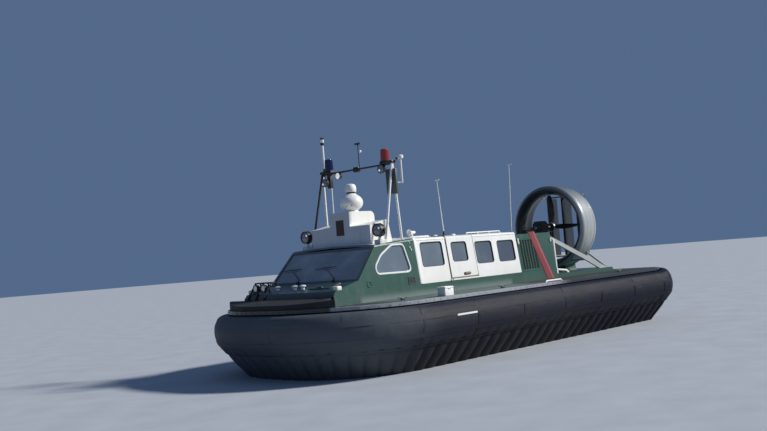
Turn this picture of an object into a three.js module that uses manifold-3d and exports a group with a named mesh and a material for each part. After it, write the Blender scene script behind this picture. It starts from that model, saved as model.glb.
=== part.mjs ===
// Ducted-propeller passenger hovercraft with an inflated bag-and-finger skirt.
// Millimetres, +X towards the bow, +Y to port, +Z up.
// The origin is on the ground under the middle of the skirt.

import * as THREE from 'three';
import { mergeVertices } from 'three/addons/utils/BufferGeometryUtils.js';
import Module from 'manifold-3d';

const wasm = await Module();
wasm.setup();

// Overall sizes
const LENGTH = 12100;
const BEAM = 5500;
const DECK_Z = 1330;
const HULL_BOTTOM_Z = 660;
const GAP = 0.3;
const MOVING_GAP = 6;

// Plan outline, measured on the widest line of the skirt
const BOW_RADIUS = 2400;
const STERN_RADIUS = 950;
const SIDE_FINGERS = 26;
const BOW_CORNER_FINGERS = 11;
const BOW_FRONT_FINGERS = 2;
const STERN_CORNER_FINGERS = 4;
const STERN_BACK_FINGERS = 11;
const FINGER_GROOVE = 55;

// Hull raft: how far its edge lies inside the widest line, and its side shape
const HULL_INSET = 350;
const HULL_BOTTOM_INSET = 800;
const HULL_CHINE_Z = 1200;
const STRAKE_OUT = 50;
const STRAKE_Z = [1265, DECK_Z];

// Superstructure: both sides lean in by the same slope from the deck up
const SIDE_Y = 1360;
const SIDE_SLOPE = 0.125;
const WALL = 45;
const SILL_Z = 1560;
const EAVES_Z = 2460;
const ROOF_Z = 2500;
const CABIN_AFT_X = -840;
const CAB_X = 2660;
const SCREEN_TOP = { x: 3800, z: 2420 };
const SCREEN_FOOT = { x: 4400, z: 1765 };
const CAB_ROOF_FRONT = { x: 3836, z: 2380, bend: 36 };
const NOSE = { x: 5100, z: 1605, edgeZ: 1525, round: 60 };
const HOUSING_AFT_X = -2280;
const HOUSING_TOP_Z = 2440;
const FLOOR_Z = 800;

// Openings in the cabin side: front x, aft x, bottom z, top z
const WINDOWS = [
  { x1: 2500, x0: 1810, z0: 1900, z1: 2400 },
  { x1: 705, x0: 105, z0: 1860, z1: 2340 },
  { x1: -95, x0: -715, z0: 1855, z1: 2325 },
];
const DOOR = { x1: 1660, x0: 750, z0: 1615, hingeY: 850, hingeZ: 2536 };
const DOOR_WINDOW = { x1: 1515, x0: 1000, z0: 1950, z1: 2365 };
const WINDOW_CORNER = 70;
const DOOR_HANDLE = { x0: 1030, x1: 1220, z0: 1662, z1: 1694, sunk: 5, proud: 28 };
const CAB_WINDOW = [
  [3010, 2390], [3350, 2390], [3690, 2205], [3890, 1985], [3860, 1850], [2960, 1840], [2890, 1890],
];
const PANE = 8;
const PANE_DEPTH = 18;

// Duct and propeller
const DUCT = { x: -4371, z: 2593, outer: 1100, throat: 873, length: 702 };
const PROP = { x: -4250, radius: 850, hub: 110, shaft: 40, blades: 4 };
const RUDDER = {
  x: -4890, y: [-450, 0, 450], chordAhead: 110, chordAft: 380, thick: 66, half: 780, shaft: 18,
};
const PLINTH = { top: 1420, aft: -5250, halfWidth: 1300 };

// Finishes
const FINISH = {
  rubber: [0x17191d, 0.55, 0.0],
  deckBlack: [0x202223, 0.8, 0.0],
  strakeGrey: [0xb9bbb5, 0.6, 0.0],
  green: [0x1f5a44, 0.4, 0.1],
  white: [0xe9e7df, 0.4, 0.05],
  glass: [0x2d3a48, 0.1, 0.2],
  black: [0x141414, 0.5, 0.2],
  greyPaint: [0xa9abac, 0.5, 0.3],
  interior: [0x4a4d52, 0.85, 0.0],
  red: [0xc8321c, 0.3, 0.0],
  blue: [0x171a55, 0.3, 0.0],
  bareAlloy: [0xb4b7ba, 0.4, 0.8],
};

const craft = new THREE.Group();
craft.name = 'hovercraft';

function finishMaterial(key) {
  const [color, roughness, metalness] = FINISH[key];
  return new THREE.MeshStandardMaterial({ color, roughness, metalness });
}

function add(name, finish, geometry) {
  const mesh = new THREE.Mesh(geometry, finishMaterial(finish));
  mesh.name = name;
  craft.add(mesh);
  return mesh;
}

// Solids and booleans

function solid(geometry) {
  const bare = geometry.clone();
  bare.deleteAttribute('normal');
  bare.deleteAttribute('uv');
  const merged = mergeVertices(bare, 1e-3);
  return new wasm.Manifold(new wasm.Mesh({
    numProp: 3,
    vertProperties: new Float32Array(merged.attributes.position.array),
    triVerts: new Uint32Array(merged.index.array),
  }));
}

function geometryOf(manifold) {
  const mesh = manifold.getMesh();
  const geometry = new THREE.BufferGeometry();
  geometry.setAttribute('position', new THREE.BufferAttribute(new Float32Array(mesh.vertProperties), 3));
  geometry.setIndex(new THREE.BufferAttribute(new Uint32Array(mesh.triVerts), 1));
  return geometry;
}

function union(parts) {
  return parts.map(solid).reduce((whole, part) => whole.add(part));
}

function cut(whole, tools) {
  return tools.map(solid).reduce((rest, tool) => rest.subtract(tool), whole);
}

// Basic shapes placed in the craft's frame

function box(x0, x1, y0, y1, z0, z1) {
  const geometry = new THREE.BoxGeometry(x1 - x0, y1 - y0, z1 - z0);
  return geometry.translate((x0 + x1) / 2, (y0 + y1) / 2, (z0 + z1) / 2);
}

function shapeOf(points) {
  return new THREE.Shape(points.map(([u, v]) => new THREE.Vector2(u, v)));
}

function roundedRect(u0, u1, v0, v1, r) {
  const shape = new THREE.Shape();
  shape.moveTo(u0 + r, v0);
  shape.lineTo(u1 - r, v0);
  shape.absarc(u1 - r, v0 + r, r, -Math.PI / 2, 0);
  shape.lineTo(u1, v1 - r);
  shape.absarc(u1 - r, v1 - r, r, 0, Math.PI / 2);
  shape.lineTo(u0 + r, v1);
  shape.absarc(u0 + r, v1 - r, r, Math.PI / 2, Math.PI);
  shape.lineTo(u0, v0 + r);
  shape.absarc(u0 + r, v0 + r, r, Math.PI, Math.PI * 1.5);
  return shape;
}

function extrude(shape, depth, curveSegments = 3) {
  return new THREE.ExtrudeGeometry(shape, { depth, bevelEnabled: false, curveSegments, steps: 1 });
}

// Outline in X and Z, from y0 to y1
function prismY(outline, y0, y1) {
  const shape = outline instanceof THREE.Shape ? outline : shapeOf(outline);
  const basis = new THREE.Matrix4().makeBasis(
    new THREE.Vector3(1, 0, 0),
    new THREE.Vector3(0, 0, 1),
    new THREE.Vector3(0, -1, 0),
  );
  return extrude(shape, y1 - y0).applyMatrix4(basis).translate(0, y1, 0);
}

// Outline in Y and Z, from x0 to x1
function prismX(outline, x0, x1) {
  const basis = new THREE.Matrix4().makeBasis(
    new THREE.Vector3(0, 1, 0),
    new THREE.Vector3(0, 0, 1),
    new THREE.Vector3(1, 0, 0),
  );
  return extrude(shapeOf(outline), x1 - x0).applyMatrix4(basis).translate(x0, 0, 0);
}

// Outline in X and Y, from z0 to z1
function prismZ(outline, z0, z1) {
  const shape = outline instanceof THREE.Shape ? outline : shapeOf(outline);
  return extrude(shape, z1 - z0).translate(0, 0, z0);
}

function rod(from, to, radius, sides = 10, endRadius = radius) {
  const a = new THREE.Vector3(...from);
  const b = new THREE.Vector3(...to);
  const along = b.clone().sub(a);
  const geometry = new THREE.CylinderGeometry(endRadius, radius, along.length(), sides);
  const turn = new THREE.Quaternion().setFromUnitVectors(new THREE.Vector3(0, 1, 0), along.normalize());
  return geometry.applyQuaternion(turn).translate((a.x + b.x) / 2, (a.y + b.y) / 2, (a.z + b.z) / 2);
}

function ball(centre, radius, segments = 12) {
  return new THREE.SphereGeometry(radius, segments, Math.round(segments * 0.7)).translate(...centre);
}

// A turned shape about a vertical axis: profile rows are radius, height
function turnedZ(profile, centre, segments = 20) {
  const points = profile.map(([r, h]) => new THREE.Vector2(r, h));
  return new THREE.LatheGeometry(points, segments).rotateX(Math.PI / 2).translate(...centre);
}

// A turned shape about a fore-and-aft axis: profile rows are radius, distance forward
function turnedX(profile, centre, segments = 40) {
  const points = profile.map(([r, h]) => new THREE.Vector2(r, h));
  return new THREE.LatheGeometry(points, segments).rotateZ(-Math.PI / 2).translate(...centre);
}

// A closed body through rings of points, all with the same count
function loft(rings) {
  const count = rings[0].length;
  const positions = rings.flat().flat();
  const index = [];
  for (let i = 0; i < rings.length - 1; i += 1) {
    const here = i * count;
    const next = here + count;
    for (let j = 0; j < count; j += 1) {
      const k = (j + 1) % count;
      index.push(here + j, next + j, next + k, here + j, next + k, here + k);
    }
  }
  addCap(rings[0], 0, index, true);
  addCap(rings[rings.length - 1], (rings.length - 1) * count, index, false);
  const geometry = new THREE.BufferGeometry();
  geometry.setAttribute('position', new THREE.Float32BufferAttribute(positions, 3));
  geometry.setIndex(index);
  return outward(geometry);
}

// Flat end of a loft, worked out in the plane that the ring lies in
function addCap(ring, start, index, first) {
  const corners = ring.map((p) => new THREE.Vector3(...p));
  const normal = new THREE.Vector3();
  corners.forEach((p, i) => {
    const q = corners[(i + 1) % corners.length];
    normal.add(new THREE.Vector3().crossVectors(p, q));
  });
  normal.normalize();
  const u = Math.abs(normal.z) < 0.9 ? new THREE.Vector3(0, 0, 1) : new THREE.Vector3(1, 0, 0);
  u.cross(normal).normalize();
  const v = new THREE.Vector3().crossVectors(normal, u);
  const flat = corners.map((p) => new THREE.Vector2(p.dot(u), p.dot(v)));
  for (const [a, b, c] of THREE.ShapeUtils.triangulateShape(flat, [])) {
    if (first) index.push(start + a, start + b, start + c);
    else index.push(start + c, start + b, start + a);
  }
}

// Turns the faces over if the body has its inside out
function outward(geometry) {
  const p = geometry.attributes.position;
  const index = geometry.index.array;
  const [a, b, c] = [new THREE.Vector3(), new THREE.Vector3(), new THREE.Vector3()];
  let volume = 0;
  for (let i = 0; i < index.length; i += 3) {
    a.fromBufferAttribute(p, index[i]);
    b.fromBufferAttribute(p, index[i + 1]);
    c.fromBufferAttribute(p, index[i + 2]);
    volume += a.dot(b.cross(c));
  }
  if (volume < 0) {
    for (let i = 0; i < index.length; i += 3) {
      [index[i], index[i + 2]] = [index[i + 2], index[i]];
    }
  }
  return geometry;
}

// Port geometry turned into its starboard twin
function mirrored(geometry) {
  const twin = geometry.clone().applyMatrix4(new THREE.Matrix4().makeScale(1, -1, 1));
  const source = twin.index ? twin : mergeVertices(twin, 1e-3);
  const index = source.index.array;
  for (let i = 0; i < index.length; i += 3) {
    [index[i], index[i + 2]] = [index[i + 2], index[i]];
  }
  return source;
}

// Plan outline of the craft: stations at the finger seams, each with its place and outward direction

function planStations() {
  const halfLength = LENGTH / 2;
  const halfBeam = BEAM / 2;
  const stations = [];
  const line = (x0, y0, x1, y1, nx, ny, steps) => {
    for (let i = 0; i < steps; i += 1) {
      const t = i / steps;
      stations.push({ x: x0 + (x1 - x0) * t, y: y0 + (y1 - y0) * t, nx, ny });
    }
  };
  const arc = (cx, cy, r, from, to, steps) => {
    for (let i = 0; i < steps; i += 1) {
      const angle = from + ((to - from) * i) / steps;
      stations.push({
        x: cx + r * Math.cos(angle), y: cy + r * Math.sin(angle), nx: Math.cos(angle), ny: Math.sin(angle),
      });
    }
  };
  const bowX = halfLength - BOW_RADIUS;
  const bowY = halfBeam - BOW_RADIUS;
  const sternX = -halfLength + STERN_RADIUS;
  const sternY = halfBeam - STERN_RADIUS;
  const quarter = Math.PI / 2;
  arc(bowX, -bowY, BOW_RADIUS, -quarter, 0, BOW_CORNER_FINGERS);
  line(halfLength, -bowY, halfLength, bowY, 1, 0, BOW_FRONT_FINGERS);
  arc(bowX, bowY, BOW_RADIUS, 0, quarter, BOW_CORNER_FINGERS);
  line(bowX, halfBeam, sternX, halfBeam, 0, 1, SIDE_FINGERS);
  arc(sternX, sternY, STERN_RADIUS, quarter, 2 * quarter, STERN_CORNER_FINGERS);
  line(-halfLength, sternY, -halfLength, -sternY, -1, 0, STERN_BACK_FINGERS);
  arc(sternX, -sternY, STERN_RADIUS, 2 * quarter, 3 * quarter, STERN_CORNER_FINGERS);
  line(sternX, -halfBeam, bowX, -halfBeam, 0, -1, SIDE_FINGERS);
  return stations;
}

const STATIONS = planStations();
const BOW_SPAN = [0, 2 * BOW_CORNER_FINGERS + BOW_FRONT_FINGERS];
const PORT_SPAN = [BOW_SPAN[1], BOW_SPAN[1] + SIDE_FINGERS];
const STERN_SPAN = [PORT_SPAN[1], PORT_SPAN[1] + 2 * STERN_CORNER_FINGERS + STERN_BACK_FINGERS];
const STARBOARD_SPAN = [STERN_SPAN[1], STERN_SPAN[1] + SIDE_FINGERS];

function inset(station, distance) {
  return [station.x - station.nx * distance, station.y - station.ny * distance];
}

// Outline of a deck-like plate, left without the points that lie inside a straight side
function planOutline(distance) {
  const keep = STATIONS.filter((station, i) => {
    const inPort = i > PORT_SPAN[0] && i < PORT_SPAN[1];
    const inStarboard = i > STARBOARD_SPAN[0] && i < STARBOARD_SPAN[1];
    const inStern = i > STERN_SPAN[0] + STERN_CORNER_FINGERS && i < STERN_SPAN[1] - STERN_CORNER_FINGERS;
    return !(inPort || inStarboard || inStern);
  });
  return keep.map((station) => inset(station, distance));
}

function planRing(distance, z) {
  return planOutline(distance).map(([x, y]) => [x, y, z]);
}

// Half width of the leaning side at a height
function sideY(z) {
  return SIDE_Y - SIDE_SLOPE * (z - DECK_Z);
}

// A slab of the leaning side between two depths, long enough for any panel
function sideSlab(outer, inner, z0, z1, x0, x1) {
  return prismX([
    [sideY(z0) - inner, z0], [sideY(z0) - outer, z0], [sideY(z1) - outer, z1], [sideY(z1) - inner, z1],
  ], x0, x1);
}

// Hull raft with its jacking pads, its rubbing strake and its landing skids

const JACKING_PADS = [{ x: 4200, y: 0 }, { x: -4500, y: 700 }, { x: -4500, y: -700 }];
const JACKING_PAD_HALF = 150;
const JACKING_PAD_DEPTH = 20;

function hullRaft() {
  const shell = loft([
    planRing(HULL_BOTTOM_INSET, HULL_BOTTOM_Z),
    planRing(HULL_INSET, HULL_CHINE_Z),
    planRing(HULL_INSET, DECK_Z),
  ]);
  const pads = JACKING_PADS.map(({ x, y }) => box(
    x - JACKING_PAD_HALF, x + JACKING_PAD_HALF, y - JACKING_PAD_HALF, y + JACKING_PAD_HALF,
    HULL_BOTTOM_Z - JACKING_PAD_DEPTH, HULL_BOTTOM_Z + 20,
  ));
  const cabinWell = box(CABIN_AFT_X, SCREEN_FOOT.x - 100, -1250, 1250, FLOOR_Z, DECK_Z + 10);
  const engineWell = box(HOUSING_AFT_X + 120, CABIN_AFT_X - 200, -900, 900, 950, DECK_Z + 10);
  return cut(solid(shell).add(union(pads)), [cabinWell, engineWell]);
}

function strake() {
  const outer = prismZ(planOutline(HULL_INSET - STRAKE_OUT), ...STRAKE_Z);
  const inner = prismZ(planOutline(HULL_INSET - GAP), STRAKE_Z[0] - 10, STRAKE_Z[1] + 10);
  return cut(solid(outer), [inner]);
}

const SKID = { x0: -3600, x1: 3600, y: 1150, halfWidth: 110, bottom: 430 };

function landingSkid(side) {
  const outline = [
    [SKID.x0, HULL_BOTTOM_Z - GAP], [SKID.x0 + 350, SKID.bottom], [SKID.x1 - 350, SKID.bottom],
    [SKID.x1, HULL_BOTTOM_Z - GAP],
  ];
  return prismY(outline, side * SKID.y - SKID.halfWidth, side * SKID.y + SKID.halfWidth);
}

// Black apron that slopes from the nose to the deck's edge, and runs on as a low fender to starboard
const APRON = {
  aft: 4500, outer: HULL_INSET - 10, inner: HULL_INSET + 90, nose: 1500, tip: 1425, toe: 5700, edge: 1385,
  end: 1350, taper: 200, portX: 5300, portY: 1300,
};

function bowApron() {
  const slope = [
    [APRON.aft, DECK_Z], [LENGTH / 2, DECK_Z], [LENGTH / 2, APRON.edge], [APRON.toe, APRON.tip],
    [NOSE.x + GAP, APRON.nose], [NOSE.x - APRON.taper, APRON.tip],
    [APRON.aft + APRON.taper, APRON.tip], [APRON.aft, APRON.end],
  ];
  const body = solid(prismZ(planOutline(APRON.outer), DECK_Z, APRON.nose)).intersect(
    solid(prismY(slope, -BEAM / 2, BEAM / 2)),
  );
  const within = solid(prismZ(planOutline(APRON.inner), DECK_Z - 10, APRON.nose + 10));
  const abaftNose = solid(box(0, NOSE.x + GAP, -BEAM, BEAM, 0, ROOF_Z));
  const portCorner = box(0, APRON.portX, APRON.portY, BEAM, 0, ROOF_Z);
  return cut(body.subtract(within.intersect(abaftNose)), [portCorner]);
}

add('hull_raft', 'deckBlack', geometryOf(hullRaft()));
add('bow_apron', 'deckBlack', geometryOf(bowApron()));
add('deck_strake', 'strakeGrey', geometryOf(strake()));
add('landing_skid_port', 'rubber', landingSkid(1));
add('landing_skid_starboard', 'rubber', landingSkid(-1));

// Skirt: a bulging bag above and pointed fingers below. Rows are inset from the widest line, height,
// whether the point lies on the hull, how deep the groove between fingers is there, and the share of the
// stern's rise that the point takes
const STERN_RISE = 95;
const SKIRT_PROFILE = [
  { inset: HULL_INSET - GAP, z: 1215, onHull: true, groove: 0, rise: 0 },
  { inset: 200, z: 1228, onHull: false, groove: 0, rise: 0.8 },
  { inset: 75, z: 1165, onHull: false, groove: 0, rise: 1 },
  { inset: 0, z: 940, onHull: false, groove: 0, rise: 0.3 },
  { inset: 45, z: 700, onHull: false, groove: 0, rise: 0 },
  { inset: 165, z: 535, onHull: false, groove: 0, rise: 0 },
  { inset: 200, z: 480, onHull: false, groove: 0.6, rise: 0 },
  { inset: 400, z: 240, onHull: false, groove: 1, rise: 0 },
  { inset: 610, z: 0, onHull: false, groove: 0.9, rise: 0 },
  { inset: 690, z: 0, onHull: false, groove: 0, rise: 0 },
  { inset: 840, z: HULL_BOTTOM_Z - 4, onHull: false, groove: 0, rise: 0 },
  { inset: HULL_BOTTOM_INSET, z: HULL_BOTTOM_Z - GAP, onHull: true, groove: 0, rise: 0 },
  { inset: HULL_INSET - GAP, z: HULL_CHINE_Z - GAP, onHull: true, groove: 0, rise: 0 },
];

function skirtRing(station, before, after, crest) {
  const sternward = Math.max(0, -station.nx);
  return SKIRT_PROFILE.map((row) => {
    if (row.onHull && crest) {
      const [ax, ay] = inset(before, row.inset);
      const [bx, by] = inset(after, row.inset);
      return [(ax + bx) / 2, (ay + by) / 2, row.z];
    }
    const depth = crest ? row.inset : row.inset + FINGER_GROOVE * row.groove;
    const [x, y] = inset(station, depth);
    return [x, y, row.z + STERN_RISE * sternward * row.rise];
  });
}

function midStation(a, b) {
  const nx = a.nx + b.nx;
  const ny = a.ny + b.ny;
  const size = Math.hypot(nx, ny);
  const turn = Math.acos(Math.min(1, a.nx * b.nx + a.ny * b.ny)) / 2;
  const radius = turn > 1e-6 ? Math.hypot(b.x - a.x, b.y - a.y) / (2 * Math.sin(turn)) : 0;
  const bulge = radius * (1 - Math.cos(turn));
  return {
    x: (a.x + b.x) / 2 + (nx / size) * bulge, y: (a.y + b.y) / 2 + (ny / size) * bulge,
    nx: nx / size, ny: ny / size,
  };
}

function skirtLength([from, to]) {
  const rings = [];
  for (let i = from; i <= to; i += 1) {
    const a = STATIONS[i % STATIONS.length];
    const b = STATIONS[(i + 1) % STATIONS.length];
    rings.push(skirtRing(a, a, a));
    if (i < to) rings.push(skirtRing(midStation(a, b), a, b, true));
  }
  return loft(rings);
}

add('skirt_bow', 'rubber', skirtLength(BOW_SPAN));
add('skirt_port', 'rubber', skirtLength(PORT_SPAN));
add('skirt_stern', 'rubber', skirtLength(STERN_SPAN));
add('skirt_starboard', 'rubber', skirtLength(STARBOARD_SPAN));

// Superstructure: green coaming and nose, white cabin, green cab and engine housing

// Everything inside the leaning sides, as one long wedge
function betweenSides(inner, z0, z1, x0, x1) {
  const low = sideY(z0) - inner;
  const high = sideY(z1) - inner;
  return prismX([[-low, z0], [low, z0], [high, z1], [-high, z1]], x0, x1);
}

function coaming() {
  const outline = [
    [HOUSING_AFT_X, DECK_Z], [NOSE.x, DECK_Z], [NOSE.x, NOSE.edgeZ], [NOSE.x - NOSE.round, NOSE.z],
    [SCREEN_FOOT.x, SCREEN_FOOT.z],
    [SCREEN_FOOT.x, SILL_Z], [HOUSING_AFT_X, SILL_Z],
  ];
  const above = SCREEN_FOOT.z + 100;
  const body = solid(prismY(outline, -SIDE_Y, SIDE_Y));
  const sides = solid(betweenSides(0, DECK_Z, above, HOUSING_AFT_X - 10, NOSE.x + 10));
  const inside = betweenSides(WALL, DECK_Z - 10, above, HOUSING_AFT_X + WALL, SCREEN_FOOT.x - WALL);
  return cut(body.intersect(sides), [inside]);
}

function windowHole({ x0, x1, z0, z1 }, shrink = 0) {
  const shape = roundedRect(x0 + shrink, x1 - shrink, z0 + shrink, z1 - shrink, WINDOW_CORNER);
  return prismY(shape, 900, 1500);
}

function cabinWall() {
  const wall = solid(sideSlab(0, WALL, SILL_Z, EAVES_Z, CABIN_AFT_X, CAB_X));
  const doorway = box(DOOR.x0, DOOR.x1, 900, 1500, DOOR.z0, EAVES_Z + 10);
  return geometryOf(cut(wall, [...WINDOWS.map((row) => windowHole(row)), doorway]));
}

// Roof section across the craft: half width and height above the eaves, outer skin then inner skin
const ROOF_SECTION = [
  [1.0, 0], [0.995, 22], [0.965, 40], [0.5, 68], [0, 80], [-0.5, 68], [-0.965, 40], [-0.995, 22], [-1.0, 0],
  [-0.94, 0], [-0.5, 30], [0, 40], [0.5, 30], [0.94, 0],
];

function roofRing(x, eaves, bend = 0) {
  const half = sideY(eaves);
  return ROOF_SECTION.map(([across, up]) => [x - (bend * up) / 40, across * half, eaves + up]);
}

const HINGE = {
  spots: [900, 1510], length: 60, pin: 14, leaf: 40, roofFoot: EAVES_Z + 30, doorFoot: EAVES_Z + 38,
};

function roofHinges(side) {
  const y = side * DOOR.hingeY;
  const inner = y - side * HINGE.leaf;
  const outer = y - side;
  return HINGE.spots.flatMap((x) => {
    const [aft, fore] = [x - HINGE.length / 2, x + HINGE.length / 2];
    return [
      rod([aft, y, DOOR.hingeZ], [fore, y, DOOR.hingeZ], HINGE.pin),
      box(aft, fore, Math.min(inner, outer), Math.max(inner, outer), HINGE.roofFoot, DOOR.hingeZ),
    ];
  });
}

function cabinRoofRings() {
  return [CABIN_AFT_X, CAB_X].map((x) => roofRing(x, EAVES_Z));
}

function cabinRoof() {
  const panel = solid(loft(cabinRoofRings()));
  const notches = [1, -1].map((side) => {
    const [y0, y1] = side > 0 ? [DOOR.hingeY, 1500] : [-1500, -DOOR.hingeY];
    return box(DOOR.x0, DOOR.x1, y0, y1, EAVES_Z - 10, ROOF_Z + 60);
  });
  return cut(panel, notches).add(union([...roofHinges(1), ...roofHinges(-1)]));
}

function door() {
  const gap = MOVING_GAP;
  const side = solid(sideSlab(0, WALL, DOOR.z0 + gap, EAVES_Z + 10, DOOR.x0 + gap, DOOR.x1 - gap));
  const lipRings = [DOOR.x0 + gap, DOOR.x1 - gap].map((x) => roofRing(x, EAVES_Z));
  const lip = cut(solid(loft(lipRings)), [box(-3000, 3000, -2000, DOOR.hingeY + gap, 2000, 3000)]);
  const knuckles = HINGE.spots.flatMap((x) => {
    const start = x + HINGE.length / 2 + GAP;
    const end = start + HINGE.length;
    return [
      rod([start, DOOR.hingeY, DOOR.hingeZ], [end, DOOR.hingeY, DOOR.hingeZ], HINGE.pin),
      box(start, end, DOOR.hingeY + 2, DOOR.hingeY + 50, HINGE.doorFoot, DOOR.hingeZ + 6),
    ];
  });
  const { x0, x1, z0, z1, sunk, proud } = DOOR_HANDLE;
  const skin = sideY(z1);
  const handle = box(x0, x1, skin - sunk, skin + proud, z0, z1);
  return cut(side.add(lip).add(union([...knuckles, handle])), [windowHole(DOOR_WINDOW)]);
}

function sidePane(outline) {
  const slab = sideSlab(PANE_DEPTH, PANE_DEPTH + PANE, SILL_Z, EAVES_Z, CABIN_AFT_X, SCREEN_FOOT.x);
  return geometryOf(solid(slab).intersect(solid(outline)));
}

function cabSide() {
  const outline = [
    [CAB_X, SILL_Z], [SCREEN_FOOT.x, SILL_Z], [SCREEN_FOOT.x, SCREEN_FOOT.z],
    [CAB_ROOF_FRONT.x, CAB_ROOF_FRONT.z], [CAB_X, EAVES_Z],
  ];
  const slab = solid(sideSlab(0, WALL, SILL_Z, EAVES_Z, CAB_X, SCREEN_FOOT.x));
  const panel = slab.intersect(solid(prismY(outline, 900, 1500)));
  return geometryOf(cut(panel, [prismY(CAB_WINDOW, 900, 1500)]));
}

function shrunk(outline, by) {
  const cx = outline.reduce((sum, p) => sum + p[0], 0) / outline.length;
  const cz = outline.reduce((sum, p) => sum + p[1], 0) / outline.length;
  return outline.map(([x, z]) => {
    const reach = Math.hypot(x - cx, z - cz);
    return [cx + ((x - cx) * (reach - by)) / reach, cz + ((z - cz) * (reach - by)) / reach];
  });
}

function cabRoofRings(lift) {
  const front = roofRing(CAB_ROOF_FRONT.x, CAB_ROOF_FRONT.z, CAB_ROOF_FRONT.bend);
  return [roofRing(CAB_X, EAVES_Z), front].map((ring) => ring.map(([x, y, z]) => [x, y, z + lift]));
}

// Everything from the top of a roof down, to seat what stands on it
function belowSkin(rings) {
  const lastOuter = ROOF_SECTION.findIndex(([across]) => across === -1);
  return loft(rings.map((ring) => ring.map(([x, y, z], i) => [x, y, z + GAP - (i > lastOuter ? 300 : 0)])));
}

// Glass between the nose and the roof's front edge, a set depth behind the pillars' front line
function screenX(z, depth) {
  const run = SCREEN_FOOT.x - SCREEN_TOP.x;
  const rise = SCREEN_TOP.z - SCREEN_FOOT.z;
  return SCREEN_FOOT.x - (run * (z - SCREEN_FOOT.z) + Math.hypot(run, rise) * depth) / rise;
}

const SCREEN_DEPTH = [12, 22];

function windscreen() {
  const foot = SCREEN_FOOT.z + GAP;
  const top = CAB_ROOF_FRONT.z - GAP;
  const [front, back] = SCREEN_DEPTH;
  const outline = [
    [screenX(foot, front), foot], [screenX(top, front), top],
    [screenX(top, back), top], [screenX(foot, back), foot],
  ];
  const sides = solid(betweenSides(WALL + GAP, SCREEN_FOOT.z - 50, SCREEN_TOP.z + 50, 3000, 5000));
  return geometryOf(solid(prismY(outline, -SIDE_Y, SIDE_Y)).intersect(sides));
}

function bulkhead() {
  const panel = solid(betweenSides(WALL + GAP, DECK_Z, EAVES_Z, CABIN_AFT_X, CABIN_AFT_X + 40));
  return geometryOf(panel);
}

add('coaming', 'green', geometryOf(coaming()));
add('cabin_wall_port', 'white', cabinWall());
add('cabin_wall_starboard', 'white', mirrored(cabinWall()));
add('cabin_roof', 'white', geometryOf(cabinRoof()));
add('cabin_bulkhead', 'white', bulkhead());
add('cab_side_port', 'green', cabSide());
add('cab_side_starboard', 'green', mirrored(cabSide()));
add('cab_roof', 'white', loft(cabRoofRings(GAP)));
add('windscreen', 'glass', windscreen());
add('cab_pane_port', 'glass', sidePane(prismY(shrunk(CAB_WINDOW, 0.5), 900, 1500)));
add('cab_pane_starboard', 'glass', mirrored(sidePane(prismY(shrunk(CAB_WINDOW, 0.5), 900, 1500))));
add('door_port', 'white', geometryOf(door()));
add('door_starboard', 'white', mirrored(geometryOf(door())));
add('door_pane_port', 'glass', sidePane(windowHole(DOOR_WINDOW, GAP)));
add('door_pane_starboard', 'glass', mirrored(sidePane(windowHole(DOOR_WINDOW, GAP))));

// Inside the cabin

const CONSOLE_OUTLINE = [[3860, 800], [4290, 800], [4290, 1560], [4180, 1640], [3900, 1600], [3820, 1480]];
const CONSOLE_HALF_WIDTH = 1000;
const SEAT = {
  x0: 2900, x1: 3400, halfWidth: 250, y: 480, cushionZ: 1250, cushionFoot: 1120, backZ: 1960,
  backHalfWidth: 230,
};
const SEAT_BACK = [
  [SEAT.x0 + 20, SEAT.cushionZ - 20], [SEAT.x0 + 140, SEAT.cushionZ - 20],
  [SEAT.x0 + 30, SEAT.backZ], [SEAT.x0 - 70, SEAT.backZ],
];
const SEAT_LEG = { inset: 80, halfWidth: 120, foot: 900, top: 1140 };
const SEAT_PLINTH = { inset: 20, side: 150, height: 110 };
const BENCH = { x0: -700, x1: 640, y0: 780, y1: 1215, cushionZ: 1240, backZ: 1780, backThick: 110 };

function crewSeat(y) {
  const { inset, halfWidth, foot, top } = SEAT_LEG;
  return [
    box(SEAT.x0, SEAT.x1, y - SEAT.halfWidth, y + SEAT.halfWidth, SEAT.cushionFoot, SEAT.cushionZ),
    prismY(SEAT_BACK, y - SEAT.backHalfWidth, y + SEAT.backHalfWidth),
    box(SEAT.x0 + inset, SEAT.x1 - inset, y - halfWidth, y + halfWidth, foot, top),
  ];
}

function crewSeats() {
  const { inset, side, height } = SEAT_PLINTH;
  const reach = SEAT.y + side;
  const plinth = box(SEAT.x0 + inset, SEAT.x1 - inset, -reach, reach, FLOOR_Z, FLOOR_Z + height);
  return geometryOf(union([plinth, ...crewSeat(SEAT.y), ...crewSeat(-SEAT.y)]));
}

function bench() {
  const { x0, x1, y0, y1, cushionZ, backZ, backThick } = BENCH;
  return geometryOf(union([
    box(x0, x1, y0, y1, FLOOR_Z, cushionZ),
    box(x0, x1, y1 - backThick, y1, cushionZ - 20, backZ),
  ]));
}

add('helm_console', 'interior', prismY(CONSOLE_OUTLINE, -CONSOLE_HALF_WIDTH, CONSOLE_HALF_WIDTH));
add('crew_seats', 'interior', crewSeats());
add('bench_port', 'interior', bench());
add('bench_starboard', 'interior', mirrored(bench()));

// Roof equipment

// A low wide tier and a narrow tower on it share one flush front
const FAIRING = {
  front: 3540, shoulder: 3130, lip: 3010, aft: 2880, foot: 2300, top: 2840, aftTop: 2930, halfWidth: 870,
};
const TOWER = { aft: 2800, top: 3150, halfWidth: 295, corner: 110 };

function fairingTier(lift) {
  const { front, shoulder, lip, aft, foot, top, aftTop, halfWidth } = FAIRING;
  const outline = [
    [front, foot], [front, top + lift], [shoulder, aftTop - 10 + lift],
    [lip - lift, aftTop + lift], [aft - lift, foot],
  ];
  return prismY(outline, -halfWidth, halfWidth);
}

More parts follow.
